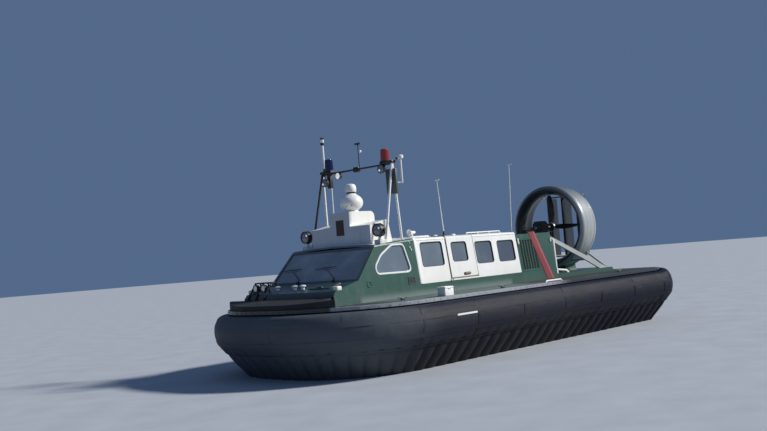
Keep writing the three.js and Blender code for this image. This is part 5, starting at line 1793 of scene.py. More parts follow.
@dataclass
class Mast:
    """Goal-post mast with its beacons, floodlights, poles and aerials."""

    top: Row = (2.94, 1.05, 4.09)
    fore_x: float = 3.345
    aft_x: float = 2.87
    foot_y: float = 1.1
    foot_z: float = 2.455
    leg: float = 0.024
    pole: Flat = (2.88, -1.05)
    dome: Flat = (2.78, 1.15)
    vane: Flat = (2.92, 0.088)
    beacon_foot: Point = (2.92, 0.85, 4.1243)
    # x, y, z, radius and lens of each floodlight; a bright lens, and the small bright spot on a grey one, are a
    # painted glint of the sun
    floods: Rows = ((2.88, 0.772, 3.974, 0.092, MastFinish.GREY), (2.88, -0.53, 3.98, 0.076, MastFinish.GLINT),
                    (2.985, -0.85, 3.86, 0.09, MastFinish.GREY))

    def build(self) -> None:
        """Makes the mast's pieces."""
        self.frame().build("mast_frame", (MAST_WHITE, BLACK_ENAMEL), slot="white_paint", replaces=("mast",))
        finishes = (BLACK_ENAMEL, CLEAR_LENS, MAST_WHITE, GLINT_LENS, GREY_LENS, BOX_GREEN)
        self.fittings().build("mast_fittings", finishes, slot="black_parts")
        for side, name, lens in ((1, "port", RED_LENS), (-1, "starboard", BLUE_LENS)):
            self.beacon(side).build(
                f"beacon_lens_{name}", (lens, BLACK_ENAMEL), slot="red_lens" if side > 0 else "blue_lens",
                replaces=(f"beacon_{name}",),
            )
        self.whips().build(
            "whip_aerials", (MAST_WHITE, BLACK_ENAMEL), slot="white_paint", replaces=("whip_mid", "whip_aft"),
        )

    def frame(self) -> Shape:
        """Legs, crossbar and poles.

        Returns:
            Their shape.
        """
        x, y, z = self.top
        shape = Shape()
        for side in (1, -1):
            shape.paint = 1 if side < 0 else 0
            shape.tube([(self.fore_x, side * self.foot_y, self.foot_z), (x, side * y, z)], self.leg, 16)
            shape.paint = 0
            shape.tube([(self.aft_x, side * self.foot_y, self.foot_z), (x - 0.01, side * y, z)], self.leg, 16)
            for foot in (self.fore_x, self.aft_x):
                shape.lathe([(0, -0.02), (0.062, -0.02), (0.062, 0.004), (0.03, 0.012), (0.03, 0.05),
                             (0, 0.05)], (foot, side * self.foot_y, self.foot_z), sides=20)
            shape.paint = 1 if side < 0 else 0
            for rise in (0.25, 0.5, 0.75):
                middle = Vector((lerp(self.fore_x, x, rise), side * lerp(self.foot_y, y, rise),
                                 lerp(self.foot_z, z, rise)))
                along = (Vector(self.top) - Vector((self.fore_x, self.foot_y, self.foot_z))).normalized()
                along.y *= side
                shape.tube([middle - along * 0.02, middle + along * 0.02], self.leg * 1.12, 14)
        shape.paint = 0
        shape.tube([(2.95, -0.785, 2.5), (2.95, -0.785, 4.06)], 0.013, 12)
        shape.tube([(*self.pole, 4.2), (*self.pole, 4.745)], [0.025, 0.024], 16)
        shape.tube([(*self.dome, at) for at in (3.64, 3.66, 4.165)], [0.014, 0.021, 0.02], 14)
        shape.tube(rounded([(2.95, 1.062, 3.66), (*self.dome, 3.66), (*self.dome, 3.8)], 0.05), 0.0135, 12)
        shape.paint = 1
        shape.tube([(*self.pole, 3.9), (*self.pole, 4.21)], 0.024, 16)
        shape.tube([(x - 0.02, -y, 4.06), (x - 0.02, y, 4.06)], 0.02, 14)
        return shape

    def fittings(self) -> Shape:
        """Brackets, boxes, floodlights and sensors.

        Returns:
            Their shape.
        """
        x, _, z = self.top
        shape = Shape()
        for side in (1, -1):
            low, high = sorted((side * 0.74, side * 1.09))
            shape.block((x - 0.08, low, 4.068), (x + 0.05, high, 4.124), 0.01)
            for y in (side * 0.8, side * 1.02):
                shape.block((x - 0.05, y - 0.02, 4.03), (x + 0.01, y + 0.02, 4.072), 0.005)
        shape.block((x - 0.075, -0.072, 4.0), (x + 0.025, 0.063, 4.11), 0.012)
        shape.paint = MastFinish.GREEN
        shape.block((x - 0.035, 0.87, 3.43), (x + 0.032, 1.15, 3.95), 0.014)
        shape.paint = MastFinish.BLACK
        vane_x, vane_y = self.vane
        shape.tube([(vane_x, vane_y, 4.06), (vane_x, vane_y, 4.58)], 0.01, 10)
        ends = [(vane_x, vane_y + along, 4.597) for along in (-0.085, -0.075, 0.0, 0.055, 0.065)]
        shape.tube(ends, [0.012, 0.022, 0.016, 0.025, 0.014], 12)
        shape.lathe([(0, 0), (0.022, 0.0), (0.022, 0.035), (0, 0.04)], (vane_x, vane_y, 4.565), sides=14)
        shape.tube([(vane_x, 0.11, 4.425), (vane_x, vane_y, 4.425)], 0.008, 8)
        shape.tube([(2.78, 1.02, 4.15), (2.78, 1.05, 4.165), (2.78, 1.1, 4.17)], [0.012, 0.026, 0.014], 12)
        px, py = self.pole
        shape.lathe(
            [(0, 4.72), (0.034, 4.72), (0.046, 4.735), (0.046, 4.775), (0, 4.775)], (px, py, 0), sides=24,
        )
        shape.lathe(
            [(0, 4.85), (0.046, 4.85), (0.047, 4.878), (0.03, 4.89), (0, 4.89)], (px, py, 0), sides=24,
        )
        shape.block((2.9, -0.87, 3.74), (2.99, -0.77, 4.072), 0.01)
        for fx, fy, fz, radius, lens in self.floods:
            self.flood(shape, (fx, fy, fz), radius, lens)
        shape.paint = MastFinish.CLEAR
        rings = [(0.038 + 0.002 * (i % 2), 4.775 + i * 0.0078) for i in range(11)]
        shape.lathe([(0, 4.772), *rings, (0, 4.853)], (px, py, 0), sides=24)
        shape.paint = MastFinish.WHITE
        shape.lathe([(0, -0.02), (0.045, -0.018), (0.06, -0.004), (0.063, 0.02), (0.062, 0.045),
                     (0.045, 0.062), (0, 0.068)], (*self.dome, 4.16), sides=28)
        shape.lathe([(0, -0.032), (0.026, -0.02), (0.034, 0.0), (0.026, 0.022), (0, 0.034)],
                    (vane_x, 0.14, 4.425), sides=18)
        return shape

    def flood(self, shape: Shape, centre: Point, radius: float, lens: int) -> None:
        """Adds one floodlight: shell, lens, and the bracket that hangs it; a grey lens gets a small spot of
        painted glint.

        Args:
            shape: what it is added to.
            centre: the middle of its back.
            radius: of its rim.
            lens: the paint number of its lens.
        """
        x, y, z = centre
        shape.paint = MastFinish.BLACK
        shape.lathe([(0, 0.0), (radius * 0.6, 0.006), (radius * 0.85, 0.03), (radius * 0.97, 0.07),
                     (radius, 0.1), (radius * 1.02, 0.104), (radius * 1.02, 0.114), (radius * 0.93, 0.115),
                     (radius * 0.9, 0.1), (0, 0.09)], (x, y, z), Axis.FORE, 30)
        if x < 2.95:
            shape.block(
                (x + 0.03, y - 0.022, z + radius * 0.8), (x + 0.065, y + 0.022, z + radius + 0.03), 0.005,
            )
        shape.paint = lens
        shape.lathe([(0, 0.094), (radius * 0.9, 0.098), (radius * 0.88, 0.108), (radius * 0.5, 0.118),
                     (0, 0.121)], (x, y, z), Axis.FORE, 30)
        # A small spot of painted glint of the sun on a grey lens
        if lens == MastFinish.GREY:
            shape.paint = MastFinish.GLINT
            spot = (x, y - radius * 0.4, z - radius * 0.25)
            shape.lathe([(0, 0.108), (radius * 0.3, 0.11), (radius * 0.22, 0.122), (0, 0.124)], spot,
                        Axis.FORE, 20)
        shape.paint = MastFinish.BLACK

    def beacon(self, side: int) -> Shape:
        """One beacon: ribbed dome on a black base.

        Args:
            side: 1 to port, -1 to starboard.

        Returns:
            Its shape.
        """
        x, y, z = self.beacon_foot
        foot = (x, side * y, z)
        shape = Shape()
        ribs = [(lerp(0.096, 0.087, i / 28) + (0.0016 if i % 2 else 0), 0.02 + i * 0.0078) for i in range(29)]
        dome = [(0.082, 0.248), (0.072, 0.256), (0.05, 0.261), (0, 0.262)]
        shape.lathe([(0, 0.012), (0.095, 0.013), *ribs, *dome], foot, sides=40)
        shape.paint = 1
        shape.lathe([(0, 0.0), (0.098, 0.0), (0.103, 0.004), (0.103, 0.012), (0.098, 0.015), (0, 0.015)],
                    foot, sides=40)
        return shape

    def whips(self) -> Shape:
        """Two tapering aerials on sprung feet.

        Returns:
            Their shape.
        """
        shape = Shape()
        for x, y, foot, top, lean in ((0.59, 0.3, 2.536, 3.8, 0.1), (-2.2, 0.15, 2.44, 4.22, -0.13)):
            tip = Vector((x + lean, y, top))
            shape.paint = 0
            shape.tube([(x, y, foot + 0.08), (x + lean * 0.35, y, lerp(foot, top, 0.35)), tip],
                       [0.013, 0.01, 0.0065], 10)
            shape.tube([tip + Vector((-0.02, -0.07, 0)), tip + Vector((0.02, 0.09, 0.005))], 0.009, 8)
            for rise in (0.33, 0.66):
                at = Vector((x, y, foot + 0.08)).lerp(tip, rise)
                shape.tube([at - Vector((0, 0, 0.02)), at + Vector((0, 0, 0.02))], 0.013, 10)
            shape.paint = 1
            coil = [(0.024 + 0.003 * (i % 2), 0.028 + i * 0.009) for i in range(9)]
            shape.lathe([(0, -0.006), (0.04, -0.006), (0.04, 0.012), (0.028, 0.02), *coil, (0, 0.104)],
                        (x, y, foot), sides=18)
        return shape


# Aft of the cabin


@dataclass
class EngineHousing:
    """Louvre blades, stripes, hatch trim and lamps of the engine housing."""

    slot_x: float = -1.56
    slot_pitch: float = 0.10567
    slot_width: float = 0.0717
    slots: int = 6
    blades: int = 19
    blade_pitch: float = 0.0358
    # Height and distance out of a blade's corners, and of those of an aft louvre
    blade: Rows = ((1.624, -0.036), (1.628, -0.038), (1.656, -0.006), (1.652, -0.004))
    louvre: Rows = ((1.7, 0.01), (1.705, 0.006), (1.735, 0.034), (1.73, 0.038))
    panel_y: Row = (0.45, -0.45)
    # Aft x, fore x, starboard y, port y
    hatch_rim: Row = (-2.055, -1.3, -0.575, 0.575)
    hatch_bolts: Row = (-2.0, -1.42, -0.52, 0.52)
    # Fore and aft x of the stripe at its foot and at its top, with their heights
    stripe: Rows = ((-1.8, -2.13, 1.335), (-1.36, -1.64, 2.475))

    def build(self) -> None:
        """Makes the housing's pieces."""
        for side, name in SIDES:
            blade = Shape()
            for i in range(self.slots):
                x = self.slot_x + i * self.slot_pitch
                blade.loft([[SIDE.at(u, *corner) for corner in self.blade]
                            for u in (x - 0.002, x + self.slot_width + 0.002)])
            shape = blade if side > 0 else blade.twin()
            step = (0.0, -side * SIDE_SLOPE * self.blade_pitch, self.blade_pitch)
            made = ROW.run(f"louvre_blades_{name}", shape.mesh("blade"), Count=self.blades, Step=step,
                           Finish=VENT_GREEN.material())
            settle(made, "root")
        frames = Shape().border(rectangle(-1.6, -0.92, 1.58, 2.335, 0.03), SIDE, (
            (-0.012, -0.002), (-0.01, 0.006), (0.01, 0.006), (0.014, 0.0), (0.012, -0.003),
        ))
        frames.mirrored().build("louvre_frames", GREEN_PAINT, slot="green_paint")
        self.stripes()
        lamps = Shape().plate(rectangle(-2.235, -2.195, 2.2, 2.29, 0.012), SIDE, -0.002, 0.03, 0.008)
        lamps.mirrored().build("housing_lamps", MAST_WHITE, slot="white_paint")
        rim = Shape().border(rectangle(*self.hatch_rim, 0.03), level(2.44), (
            (0.0, -0.001), (0.002, 0.01), (0.018, 0.01), (0.024, 0.0),
        ))
        rim.build("hatch_rim", GASKET, slot="black_parts")
        corners = rectangle(*self.hatch_bolts, 0.02)
        Track().line([(p.x, p.y, 2.441) for p in corners], (0, 0, 1),
                     closed=True).heads("hatch_fasteners", 0.13, 0.009, 0.006, ALLOY, "engine_hatch")
        panel = Shape()
        aft = Plane((-2.28, 0, 0), (0, 1, 0), (0, 0, 1), (-1, 0, 0))
        for y in self.panel_y:
            panel.plate(rectangle(y - 0.32, y + 0.32, 1.62, 2.2, 0.04), aft, -0.002, 0.012, 0.004)
        panel.build("housing_aft_panels", GREEN_PAINT, slot="green_paint")
        vents = Shape()
        for y in self.panel_y:
            vents.loft([[aft.at(u, *corner) for corner in self.louvre] for u in (y - 0.22, y + 0.22)])
        made = ROW.run("housing_aft_louvres", vents.mesh("vent"), Count=9, Step=(0.0, 0.0, 0.045),
                       Finish=GREEN_PAINT.material())
        settle(made, "root")

    def stripes(self) -> None:
        """Makes the raised red bands, each with a pale pink line painted along it as a highlight."""
        (fore0, aft0, z0), (fore1, aft1, z1) = self.stripe
        # The second row is the pale line along each band: a painted highlight
        for name, share, rise, finish in (
            ("stripe_bands", 1.0, 0.016, STRIPE_RED), ("stripe_highlight_lines", 0.16, 0.0205, STRIPE_HIGHLIGHT),
        ):
            shape, rings = Shape(), []
            for step in range(9):
                t = step / 8
                fore, aft, v = lerp(fore0, fore1, t), lerp(aft0, aft1, t), lerp(z0, z1, t)
                middle = (fore + aft) / 2 - (0.0 if share == 1.0 else (fore - aft) * 0.235)
                half = (fore - aft) / 2 * share
                ring = [SIDE.at(middle + half * math.cos(a), v, -0.004 + (rise + 0.004) * math.sin(a) ** 0.6)
                        for a in (math.pi * k / 8 for k in range(9))]
                rings.append(ring)
            shape.loft(rings)
            shape.mirrored().build(name, finish, slot="red_lens" if share == 1.0 else "white_paint")


@dataclass
class Thruster:
    """Duct, its brackets, the propeller, and trims of the pylon, stays and rudders."""

    x: float = -4.371
    z: float = 2.593
    prop_x: float = -4.25
    # The propeller blade's section: share of its chord, and height as a share of its thickness
    foil: Rows = ((-0.5, 0.0), (-0.3, 0.5), (-0.05, 0.62), (0.25, 0.42), (0.5, 0.06), (0.5, -0.06),
                  (0.2, -0.18), (-0.2, -0.2), (-0.42, -0.16))
    # A rudder rib's outline: distances forward and to port
    rib: Rows = ((0.06, 0.03), (-0.1, 0.032), (-0.24, 0.022), (-0.24, -0.022), (-0.1, -0.032), (0.06, -0.03))
    pylon_x: float = -3.56
    belts: Row = (1.78, 2.0, 2.22, 2.44)
    rudder_x: float = -4.89
    rudders: tuple[tuple[float, str], ...] = ((0.45, "port"), (0.0, "centre"), (-0.45, "starboard"))
    # Radius and distance forward: the outer skin with its rounded lip, a seam and the tail band
    outer: Rows = (
        (1.005, 0.351), (1.022, 0.349), (1.04, 0.344), (1.058, 0.334), (1.073, 0.32), (1.085, 0.302),
        (1.094, 0.28), (1.099, 0.255), (1.1005, 0.228), (1.1, 0.19), (1.099, 0.15), (1.096, 0.146),
        (1.096, 0.14), (1.099, 0.136), (1.097, 0.06), (1.092, -0.04), (1.084, -0.15), (1.075, -0.232),
        (1.079, -0.238), (1.079, -0.262), (1.073, -0.268), (1.064, -0.31), (1.054, -0.338), (1.042, -0.349),
        (1.034, -0.351), (0.968, -0.351),
    )
    inner: Rows = (
        (0.968, -0.351), (0.951, -0.255), (0.932, -0.15), (0.915, -0.06), (0.898, -0.005), (0.881, 0.042),
        (0.873, 0.07), (0.872, 0.12), (0.873, 0.17), (0.882, 0.205), (0.9, 0.242), (0.922, 0.282),
        (0.945, 0.314), (0.964, 0.336), (0.984, 0.348), (1.005, 0.351),
    )

    def build(self) -> None:
        """Makes the thruster's pieces."""
        self.ring()
        self.propeller()
        self.trims()

    def ring(self) -> None:
        """Makes the duct."""
        centre = (self.x, 0, self.z)
        shape = Shape()
        shape.ring([*self.outer, *((r + 0.03, at) for r, at in self.inner[1:-1])], centre, Axis.FORE)
        shape.paint = 1
        shape.ring(
            [*self.inner, *((r + 0.02, at) for r, at in reversed(self.inner[1:-1]))], centre, Axis.FORE,
        )
        belt = [(0.874, -0.03), (0.874, 0.03), (0.866, 0.026), (0.866, -0.026)]
        shape.ring(belt, (self.prop_x, 0, self.z), Axis.FORE)
        shape.paint = 2
        low = Plane((self.x, 0, 0), (0, 1, 0), (0, 0, 1), (1, 0, 0))
        arch = [(1.03 * math.sin(a), self.z - 1.03 * math.cos(a))
                for a in (math.radians(d) for d in range(-22, 23, 4))]
        outline = [Vector(p) for p in [(0.42, PLINTH_Z), (-0.42, PLINTH_Z), (-0.39, 1.5), *arch, (0.39, 1.5)]]
        shape.plate(outline, low, -0.25, 0.25, 0.01)
        shape.paint = 0
        for side in (1, -1):
            shape.tube([(-4.56, side * 0.8, 1.86), (-5.19, side * 0.96, 1.432)], 0.026, 14)
            shape.block((-5.24, side * 0.96 - 0.045, PLINTH_Z), (-5.14, side * 0.96 + 0.045, 1.446), 0.005)
            shape.tube([(-4.1, side * 0.5, 1.69), (-4.1, side * 1.069, 1.69)], 0.03, 14)
        for up in (1, -1):
            z = self.z + up * 0.807
            shape.block((-4.935, -0.64, z - 0.018), (-4.845, 0.64, z + 0.018), 0.006)
            for side in (1, -1):
                shape.block(
                    (-4.92, side * 0.56 - 0.035, z - 0.018), (-4.675, side * 0.56 + 0.035, z + 0.018), 0.006,
                )
        shape.build("duct_shell", (DUCT_OUTER, DUCT_INNER, GREEN_PAINT), slot="grey_paint",
                    replaces=("duct",))
        track = Track()
        for at, radius in ((0.165, 1.0995), (-0.205, 1.0785)):
            spokes = [Vector((0, math.sin(a), math.cos(a))) for a in turns(72)]
            track.line(
                [Vector(centre) + Vector((at, 0, 0)) + s * radius for s in spokes], spokes, closed=True,
            )
        track.heads("duct_rivets", 0.085, 0.008, 0.005, DUCT_OUTER, slot="grey_paint")

    def propeller(self) -> None:
        """Makes the propeller: twisted blades on a hub with a spinner."""
        blade = Shape()
        rings = []
        # Radius, chord, thickness, pitch in degrees, sweep
        for radius, chord, thick, pitch, sweep in (
            (0.08, 0.11, 0.05, 62, 0.0), (0.16, 0.13, 0.042, 56, 0.0), (0.3, 0.185, 0.03, 46, 0.004),
            (0.45, 0.2, 0.023, 38, 0.006), (0.6, 0.185, 0.017, 31, 0.004), (0.74, 0.155, 0.012, 27, -0.006),
            (0.825, 0.125, 0.009, 24, -0.014), (0.849, 0.09, 0.006, 23, -0.02),
        ):
            turn = math.radians(pitch)
            ring = []
            for share, up in self.foil:
                along, over = share * chord + sweep, up * thick
                ring.append(Vector((-along * math.cos(turn) * 0.9 + over * math.sin(turn),
                                    along * math.sin(turn) + over * math.cos(turn), radius)))
            rings.append(ring)
        blade.loft(rings)
        made = WHEEL.run("propeller_blades", blade.mesh("blade"), Count=4, Centre=(self.prop_x, 0.0, self.z),
                         Finish=BLACK_ENAMEL.material())
        settle(made, "propeller", ("propeller",))
        hub = Shape()
        hub.lathe([(0, -0.168), (0.03, -0.16), (0.066, -0.13), (0.096, -0.085), (0.11, -0.05), (0.11, 0.085),
                   (0.1, 0.095), (0.045, 0.1), (0.04, 0.11), (0.04, 0.296), (0, 0.296)],
                  (self.prop_x, 0, self.z), Axis.FORE, 40)
        hub.paint = 1
        hub.lathe([(0.1, 0.03), (0.118, 0.03), (0.12, 0.036), (0.12, 0.054), (0.118, 0.06), (0.1, 0.06)],
                  (self.prop_x, 0, self.z), Axis.FORE, 40)
        hub.build("propeller_hub", (BLACK_ENAMEL, ALLOY), "propeller", "bare_alloy")

    def trims(self) -> None:
        """Makes the pylon's cap and belts, the stay plates, the rudder caps and the rails."""
        pylon = Shape()
        pylon.lathe([(0, 0.0), (0.1, 0.0), (0.11, 0.006), (0.11, 0.022), (0.07, 0.03), (0.05, 0.045),
                     (0, 0.048)], (self.pylon_x, 0, self.z), Axis.FORE, 32)
        pylon.paint = 1
        pylon.lathe([(0, 0.04), (0.022, 0.05), (0.02, 0.066), (0, 0.07)], (self.pylon_x, 0, self.z),
                    Axis.FORE, 20)
        pylon.paint = 0
        for z in self.belts:
            pylon.block((self.pylon_x - 0.008, -0.13, z), (self.pylon_x + 0.008, 0.13, z + 0.1), 0.006)
        pylon.build("pylon_cover", (BLACK_ENAMEL, ALLOY), slot="black_parts")
        plates = Shape()
        plates.block((-2.318, 1.045, 2.275), (-2.276, 1.145, 2.415), 0.008)
        plates.block((-5.02, 1.035, PLINTH_Z), (-4.56, 1.155, 1.436), 0.005)
        plates.mirrored().build("stay_plates", STAY_PAINT, slot="grey_paint")
        rail = Shape()
        path = rounded(
            [(-2.39, 1.206, 2.255), (-2.43, 1.206, 1.53), (-2.55, 1.2, 1.512), (-2.915, 1.2, 1.475)], 0.06,
        )
        radii = [lerp(0.044, 0.047, (2.255 - p.z) / 0.725) if p.x > -2.455 else 0.027 for p in path]
        rail.tube(path, radii, 18)
        flat = Plane((0, 1.2, 0), (1, 0, 0), (0, 0, 1), (0, 1, 0))
        gusset = [Vector(p) for p in ((-2.4, 1.5), (-2.57, 1.5), (-2.54, 1.53), (-2.43, 1.64))]
        rail.plate(gusset, flat, -0.008, 0.008, 0.003)
        for x0, x1, top in ((-2.475, -2.355, 1.5), (-2.95, -2.86, 1.462)):
            rail.block((x0, 1.15, PLINTH_Z), (x1, 1.25, top), 0.008)
        rail.pair("aft_rail_tube", MAST_WHITE, slot="white_paint", replaces="aft_rail")
        for y, name in self.rudders:
            cap = Shape()
            for up in (1, -1):
                z = self.z + up * 0.781
                cap.lathe(
                    [(0, -0.003), (0.03, -0.003), (0.03, 0.003), (0, 0.003)], (self.rudder_x, y, z), sides=16,
                )
            for z in (self.z - 0.45, self.z, self.z + 0.45):
                cap.loft([[(self.rudder_x + dx, y + dy, z + dz) for dx, dy in self.rib]
                          for dz in (-0.012, 0.012)])
            cap.build(f"rudder_ribs_{name}", RUDDER_PAINT, f"rudder_{name}", "grey_paint")


@dataclass
class DeckGear:
    """Lockers, cleats and the pale strip on the deck's edge."""

    locker: Rows = ((2.9, 2.18, 1.33), (3.17, 2.385, 1.51))

    def build(self) -> None:
        """Makes the deck's pieces."""
        (x0, y0, z0), (x1, y1, z1) = self.locker
        box = Shape()
        box.block((x0 + 0.004, y0 + 0.004, z0 + 0.0003), (x1 - 0.004, y1 - 0.004, z1 - 0.042), 0.01)
        box.block((x0, y0, z1 - 0.04), (x1, y1, z1), 0.012)
        box.paint = 1
        middle = (x0 + x1) / 2
        box.block((middle - 0.03, y1 - 0.003, z1 - 0.052), (middle + 0.03, y1 + 0.006, z1 - 0.032), 0.003)
        box.pair("locker", (MAST_WHITE, ALLOY), slot="white_paint", replaces="deck_box")
        strip = Shape()
        strip.tube(rounded([(-0.77, 2.43, 1.33), (-0.74, 2.43, 1.365), (-0.18, 2.43, 1.365),
                            (-0.15, 2.43, 1.33)], 0.03), 0.02, 12)
        strip.mirrored().build("deck_edge_bars", TAPE_WHITE, slot="white_paint")
        cleats = Shape()
        for x, y in ((1.2, 2.28), (-3.6, 2.25), (3.9, 1.95)):
            cleats.block((x - 0.05, y - 0.02, 1.3303), (x + 0.05, y + 0.02, 1.375), 0.008)
            cleats.tube([(x - 0.13, y, 1.386), (x - 0.05, y, 1.38), (x + 0.05, y, 1.38),
                         (x + 0.13, y, 1.386)], [0.01, 0.015, 0.015, 0.01], 10)
        cleats.mirrored().build("deck_cleats", VENT_GREEN, slot="black_parts")


# Inside the cabin


@dataclass
class Interior:
    """Seats, bench cushions and the helm."""

    crew_y: float = 0.48
    bench: Row = (-0.7, 0.64, 0.78, 1.215)
    floor_z: float = 0.8
    seat_z: float = 1.12
    bench_z: float = 1.14
    wall_y: float = 1.195
    soft: Rows = ((-0.05, 0.0), (-0.012, 0.008), (0.0, 0.03), (0.003, 0.06), (0.0, 0.085), (-0.014, 0.106),
                  (-0.05, 0.122), (-0.11, 0.13), (-0.17, 0.133))

    def cushion(self, outline: Sequence[Vector], plane: Plane, height: float) -> Shape:
        """A crowned cushion on a plane."""
        scale = height / self.soft[-1][1]
        return Shape().slab(outline, plane, [(by, out * scale) for by, out in self.soft])

    def build(self) -> None:
        """Makes the inside's pieces."""
        frames = Shape().block((2.92, -0.63, self.floor_z), (3.38, 0.63, 0.91), 0.01)
        for side, _ in SIDES:
            y = side * self.crew_y
            frames.block((2.98, y - 0.12, 0.9), (3.32, y + 0.12, self.seat_z), 0.02)
        frames.build("crew_seat_frames", TRIM_GREY, slot="interior", replaces=("crew_seats",))
        for side, name in SIDES:
            self.crew_seat(side * self.crew_y, name)
            self.bench_row(side, name)
        self.helm()

    def crew_seat(self, y: float, name: str) -> None:
        """Makes the cushions of one crew seat.

        Args:
            y: the seat's middle.
            name: the side's name.
        """
        seat = self.cushion(rectangle(2.9, 3.4, y - 0.25, y + 0.25, 0.06), level(self.seat_z), 0.13)
        seat.build(f"crew_seat_{name}", CLOTH, slot="seat_fabric", sharp=60)
        back = Vector((-0.1, 0, 0.72)).normalized()
        plane = Plane((2.93, y, 1.23), (0, 1, 0), back, Vector((back.z, 0, -back.x)))
        rest = self.cushion(rectangle(-0.23, 0.23, 0.0, 0.72, 0.09), plane, 0.1)
        rest.build(f"crew_back_{name}", CLOTH, slot="seat_fabric", sharp=60)

    def bench_row(self, side: int, name: str) -> None:
        """Makes one bench: its base, and a pad and a rest for each place.

        Args:
            side: 1 to port, -1 to starboard.
            name: the side's name.
        """
        x0, x1, y0, y1 = self.bench
        low, high = sorted((side * y0, side * y1))
        base = Shape().block((x0, low, self.floor_z), (x1, high, self.bench_z), 0.01)
        near, far = sorted((side * self.wall_y, side * (self.wall_y + 0.005)))
        base.block((x0, near, self.bench_z), (x1, far, 1.78), 0.002)
        base.build(f"bench_base_{name}", TRIM_GREY, slot="interior", replaces=(f"bench_{name}",))
        wall = Plane((0, side * self.wall_y, 0), (1, 0, 0), (0, 0, 1), (0, -side, 0))
        width = (x1 - x0) / 3
        for i in range(3):
            start, stop = x0 + i * width + 0.006, x0 + i * width + width - 0.006
            pad = self.cushion(
                rectangle(start, stop, low + 0.01, high - 0.01, 0.05), level(self.bench_z), 0.1,
            )
            pad.build(f"bench_pad_{name}_{i + 1}", CLOTH, slot="seat_fabric", sharp=60)
            rest = self.cushion(rectangle(start, stop, 1.27, 1.77, 0.05), wall, 0.085)
            rest.build(f"bench_rest_{name}_{i + 1}", CLOTH, slot="seat_fabric", sharp=60)

    def helm(self) -> None:
        """Makes the wheel, its column and the screens of the helm."""
        slope = Plane((3.9, 0, 1.6), (0, 1, 0), (0.99, 0, 0.141), (-0.141, 0, 0.99))
        shape = Shape()
        for y in (-0.55, 0.0, 0.55):
            shape.plate(rectangle(y - 0.16, y + 0.16, 0.06, 0.22, 0.02), slope, -0.002, 0.03, 0.008)
        shape.paint = 1
        for y in (-0.55, 0.0, 0.55):
            shape.plate(rectangle(y - 0.14, y + 0.14, 0.075, 0.205, 0.01), slope, 0.026, 0.033, 0.001)
        shape.paint = 0
        centre = Vector((3.76, self.crew_y, 1.52))
        wheel = [centre + Vector((math.sin(a) * 0.05, math.cos(a) * 0.17, math.sin(a) * 0.165))
                 for a in [*turns(24), 2 * math.pi]]
        shape.tube(wheel, 0.013, 8)
        for a in (0.5, 2.6, 4.7):
            shape.tube(
                [centre, centre + Vector((math.sin(a) * 0.05, math.cos(a) * 0.165, math.sin(a) * 0.16))],
                0.01, 8,
            )
        shape.tube([centre, centre + Vector((0.09, 0, -0.03))], 0.022, 10)
        shape.build("helm_fittings", (BLACK_ENAMEL, DARK_LENS), slot="interior")


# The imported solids' own finishes


@dataclass
class Solids:
    """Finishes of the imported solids."""

    def table(self) -> dict[Finish, tuple[str, ...]]:
        """Which finish each node takes.

        Returns:
            The nodes' names by finish.
        """
        sides = ("port", "starboard")
        return {DECK_PAINT: ("hull_raft",), APRON_PAINT: ("bow_apron",), STRAKE_PAINT: ("deck_strake",),
                BLACK_ENAMEL: ("drive_pylon", "engine_block", *(f"landing_skid_{s}" for s in sides)),
                NOSE_PAINT: ("coaming",),
                GREEN_PAINT: ("cab_side_port", "cab_side_starboard", "engine_housing", "engine_hatch",
                              "aft_plinth"),
                WHITE_PAINT: ("cabin_wall_port", "cabin_wall_starboard", "cabin_roof", "cabin_bulkhead",
                              "door_port", "door_starboard"),
                FAIRING_WHITE: ("roof_fairing", "searchlight_stand_port", "searchlight_stand_starboard"),
                CAB_ROOF_PAINT: ("cab_roof",), SCREEN_GLASS: ("windscreen",),
                GLASS: ("cab_pane_port", "cab_pane_starboard", "door_pane_port", "door_pane_starboard"),
                TRIM_GREY: ("helm_console",), ALLOY: ("lift_fan",),
                STAY_PAINT: ("duct_stay_port", "duct_stay_starboard"),
                RUDDER_PAINT: ("rudder_port", "rudder_centre", "rudder_starboard")}

    def build(self) -> None:
        """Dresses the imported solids."""
        for finish, names in self.table().items():
            for name in names:
                node = frame["nodes"][name]
                node.data.materials.clear()
                node.data.materials.append(finish.material())
                LOG.info("%s: dressed in %s", name, finish.name)


# The studio


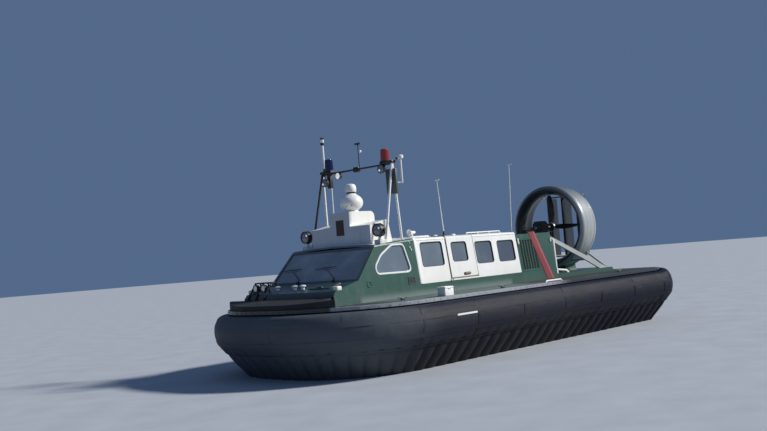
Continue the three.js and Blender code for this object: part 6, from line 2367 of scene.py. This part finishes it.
@dataclass
class Studio:
    """Camera, floor, colour of the sky, and the sun."""

    eye: Point = (16.687, 13.875, 2.21)
    right: Point = (-0.6922, 0.7173, -0.0796)
    up: Point = (-0.0246, 0.0868, 0.9959)
    lens: float = 43.37
    sun_from: Point = (-0.61, 0.59, 0.53)
    sun: Colour = (1.0, 0.97, 0.91)
    sun_power: float = 4.5
    sun_spread: float = 6.0
    sky: Colour = (0.26, 0.42, 0.74)
    sky_power: float = 0.34
    floor_radius: float = 160.0

    def build(self) -> None:
        """Makes the studio."""
        camera = bpy.data.objects.new("camera", bpy.data.cameras.new("camera"))
        bpy.context.scene.collection.objects.link(camera)
        right, up = Vector(self.right).normalized(), Vector(self.up).normalized()
        back = right.cross(up).normalized()
        up = back.cross(right)
        camera.matrix_world = Matrix((
            (right.x, up.x, back.x, self.eye[0]), (right.y, up.y, back.y, self.eye[1]),
            (right.z, up.z, back.z, self.eye[2]), (0, 0, 0, 1),
        ))
        camera.data.lens, camera.data.sensor_width = self.lens, 36.0
        camera.data.clip_end = 500.0
        bpy.context.scene.camera = camera
        floor = Shape().loft([[(self.floor_radius * math.cos(a), self.floor_radius * math.sin(a), z)
                               for a in turns(48)] for z in (-0.2, 0.0)])
        plate = bpy.data.objects.new("floor", floor.mesh("floor"))
        bpy.context.scene.collection.objects.link(plate)
        pale = Paint("floor_paint", (0.4, 0.43, 0.48), soiling=0.0, rough=0.95, coat=0.0, peel=0.0002)
        plate.data.materials.append(pale.material())
        world = bpy.data.worlds.new("sky")
        bpy.context.scene.world = world
        world.use_nodes = True
        background = world.node_tree.nodes["Background"]
        background.inputs["Color"].default_value = (*self.sky, 1.0)
        background.inputs["Strength"].default_value = self.sky_power
        self.lamp("key", self.sun_from, self.sun_power, self.sun, self.sun_spread)
        bpy.context.scene.view_settings.view_transform = "Standard"

    def lamp(self, name: str, source: Point, strength: float, colour: Colour, spread: float) -> None:
        """Adds a far lamp.

        Args:
            name: its name.
            source: the direction that it shines from.
            strength: its power.
            colour: its colour.
            spread: how wide it is in degrees, for soft shadows.
        """
        data = bpy.data.lights.new(name, "SUN")
        data.energy, data.color, data.angle = strength, colour, math.radians(spread)
        lamp = bpy.data.objects.new(name, data)
        lamp.rotation_euler = Vector(source).to_track_quat("Z", "Y").to_euler()
        bpy.context.scene.collection.objects.link(lamp)


def main() -> None:
    """Builds the scene."""
    logging.basicConfig(level=logging.INFO, format="%(name)s: %(message)s")
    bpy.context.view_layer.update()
    for assembly in (Studio(), Solids(), Skirt(), Glazing(), CabTrim(), Cabin(), RoofEquipment(), Mast(),
                     EngineHousing(), Thruster(), DeckGear(), Interior()):
        LOG.info("building %s", type(assembly).__name__)
        assembly.build()


if __name__ == "__main__":
    main()
